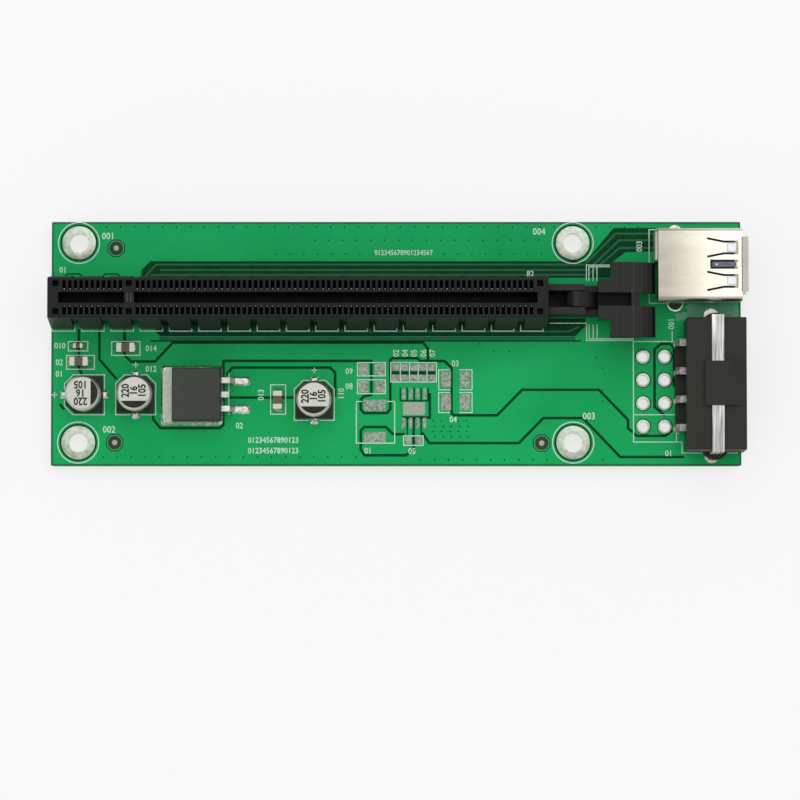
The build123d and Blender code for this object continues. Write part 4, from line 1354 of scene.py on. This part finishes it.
# %% Solder on the upper face
tab_low, tab_high = span("regulator_tab")
mould_high = span("regulator_mould")[1]
lead_low, lead_high = span("regulator_leads")
tab_pool_west, tab_pool_south, tab_pool_east, tab_pool_north = 0.35, 0.45, 0.2, 0.4
lead_half, lead_pool_half, lead_pool_rear, lead_pool_front = 0.5, 0.75, 2.6, 0.6
shapes = [pool(tab_low.x - tab_pool_west, tab_low.y - tab_pool_south,
               mould_high.x + tab_pool_east, tab_high.y + tab_pool_north,
               rise=0.5, slope=0.4, count=160, square=24)]
for y in (lead_low.y + lead_half, lead_high.y - lead_half):
    shapes.append(pool(lead_high.x - lead_pool_rear, y - lead_pool_half,
                       lead_high.x + lead_pool_front, y + lead_pool_half, rise=0.32, slope=0.35))
for node in numbered("chip_ends", 4):
    shapes += end_pools(node, reach=0.5, overlap=0.5, room=0.12, rise=0.7, slope=0.42)
for node in numbered("can_tabs", 3):
    shapes += end_pools(node, reach=0.4, overlap=1.0, room=0.25, rise=0.24, slope=0.3)
join("upper_solder", shapes, solder, smooth=True)

# %% [markdown]
# Pins that go through the board have solder above and below. Their places are worked out from the
# solids, since the outermost pins touch the sides of their node's box. That way the solder stays
# on its pin.

# %% Find the pins
pin_radius, tail_half, tail_count = 1.05, 0.625, 4
leg_behind, leg_half = 3.35, 0.15
strap_half = 0.22
pool_behind, north_reach, south_reach = 0.55, 0.6, 0.15
contact_half_thick, fine_half, fine_count = 0.12, 0.3, 5
wide_offsets = (-3.5, -1.0, 1.0, 3.5)
pins_low, pins_high = span("power_pins")
fine_low, fine_high = span("usb_fine_contacts")
wide_low = span("usb_wide_contacts")[0]
tail_ys = evenly(pins_low.y + pin_radius, pins_high.y - pin_radius, tail_count)
tails = [(pins_low.x + tail_half, y) for y in tail_ys]
legs = [(socket_low.x + leg_behind, y) for y in (socket_low.y + leg_half, socket_high.y - leg_half)]
strap_x = middle_of("power_clip_north")[0]
strap_north, strap_south = span("power_clip_north")[1].y, span("power_clip_south")[0].y
strap_legs = [(strap_x, strap_north - strap_half), (strap_x, strap_south + strap_half)]
strap_pools = [(strap_x - pool_behind, strap_north + north_reach),
               (strap_x - pool_behind, strap_south - south_reach)]
fine_ys = evenly(fine_low.y + fine_half, fine_high.y - fine_half, fine_count)
fine_pins = [(fine_low.x + contact_half_thick, y) for y in fine_ys]
wide_pins = [(wide_low.x + contact_half_thick, socket_middle + offset) for offset in wide_offsets]
small_pins = fine_pins + wide_pins
print(len(tails + legs + strap_legs + small_pins), "pins through the board")

# %% [markdown]
# On the upper face the big pins stand in low drops of solder, which are turned profiles. One leg
# of the socket stands free in its hole instead, so it has a bare ring round its hole, and a dark
# disc laid over the hole is painted shade.

# %% Solder at the big pins
strap_pool = [(1.35, board_top), (1.3, pad_level + 0.03), (0.3, board_top + 0.12)]
tail_pool = [(0.92, board_top), (0.88, pad_level), (0.75, board_top + 0.25)]
leg_hole, leg_land, leg_level = 1.2, 1.48, pad_level + 0.03
south_leg, north_leg = legs
shapes = [ring(south_leg, leg_hole, leg_land, board_top, leg_level)]
shapes += [turned(place, strap_pool, sides=32) for place in strap_pools + [north_leg]]
shapes += [turned(place, tail_pool) for place in tails]
join("pin_rings", shapes, solder, smooth=True)
# A dark disc over the free leg's hole: painted shade.
leg_hole_shade = disc(south_leg, leg_hole, board_top, gap_level, window_sides)
join("leg_hole_shade_disc", [leg_hole_shade], window_and_shade_brown)

# %% [markdown]
# Between the socket and the inlet a film of flux was left when the big pins were soldered by hand.
# It dries to a pale haze with a ragged edge. Two very low pools, one over the other, have just
# that outline.

# %% Flux between the sockets
haze = [pool(64.9, 4.5, board_right - 0.4, 7.1, rise=0.008, slope=0.3, ragged=0.16),
        pool(62.9, 4.3, 66.5, 5.6, rise=0.007, slope=0.2, ragged=0.12)]
join("flux_haze", haze, rim_green)

# %% [markdown]
# Below the board every pin ends in a hollow cone of solder. The slot's contacts come through in
# staggered rows, so that the drops keep clear of each other. A profile of five points gives the
# hollow side; more would not be seen at this size.

# %% Solder on the underside
row_reaches = (1.6, 3.4)


def cone(center, foot, tip, drop, sides=16):
    """A hollow fillet of solder that hangs from the underside."""
    profile = [(tip * 0.5, -drop - 0.05), (tip, -drop), ((foot + tip) / 2.4, -drop * 0.45),
               (foot * 0.86, -0.06), (foot, 0.0)]
    return turned(center, profile, sides)


shapes = [cone(place, foot=1.45, tip=0.8, drop=1.0, sides=24) for place in tails]
shapes += [cone(place, foot=1.5, tip=0.7, drop=0.9, sides=24) for place in legs + strap_legs]
shapes += [cone(place, foot=0.6, tip=0.28, drop=0.8) for place in small_pins]
for index, x in enumerate(sorted(before_key + after_key)):
    for side in (1, -1):
        y = slot_middle + side * row_reaches[(index + (side > 0)) % 2]
        shapes.append(cone((x, y), foot=0.42, tip=0.2, drop=0.65, sides=10))
join("under_solder", shapes, solder, smooth=True)
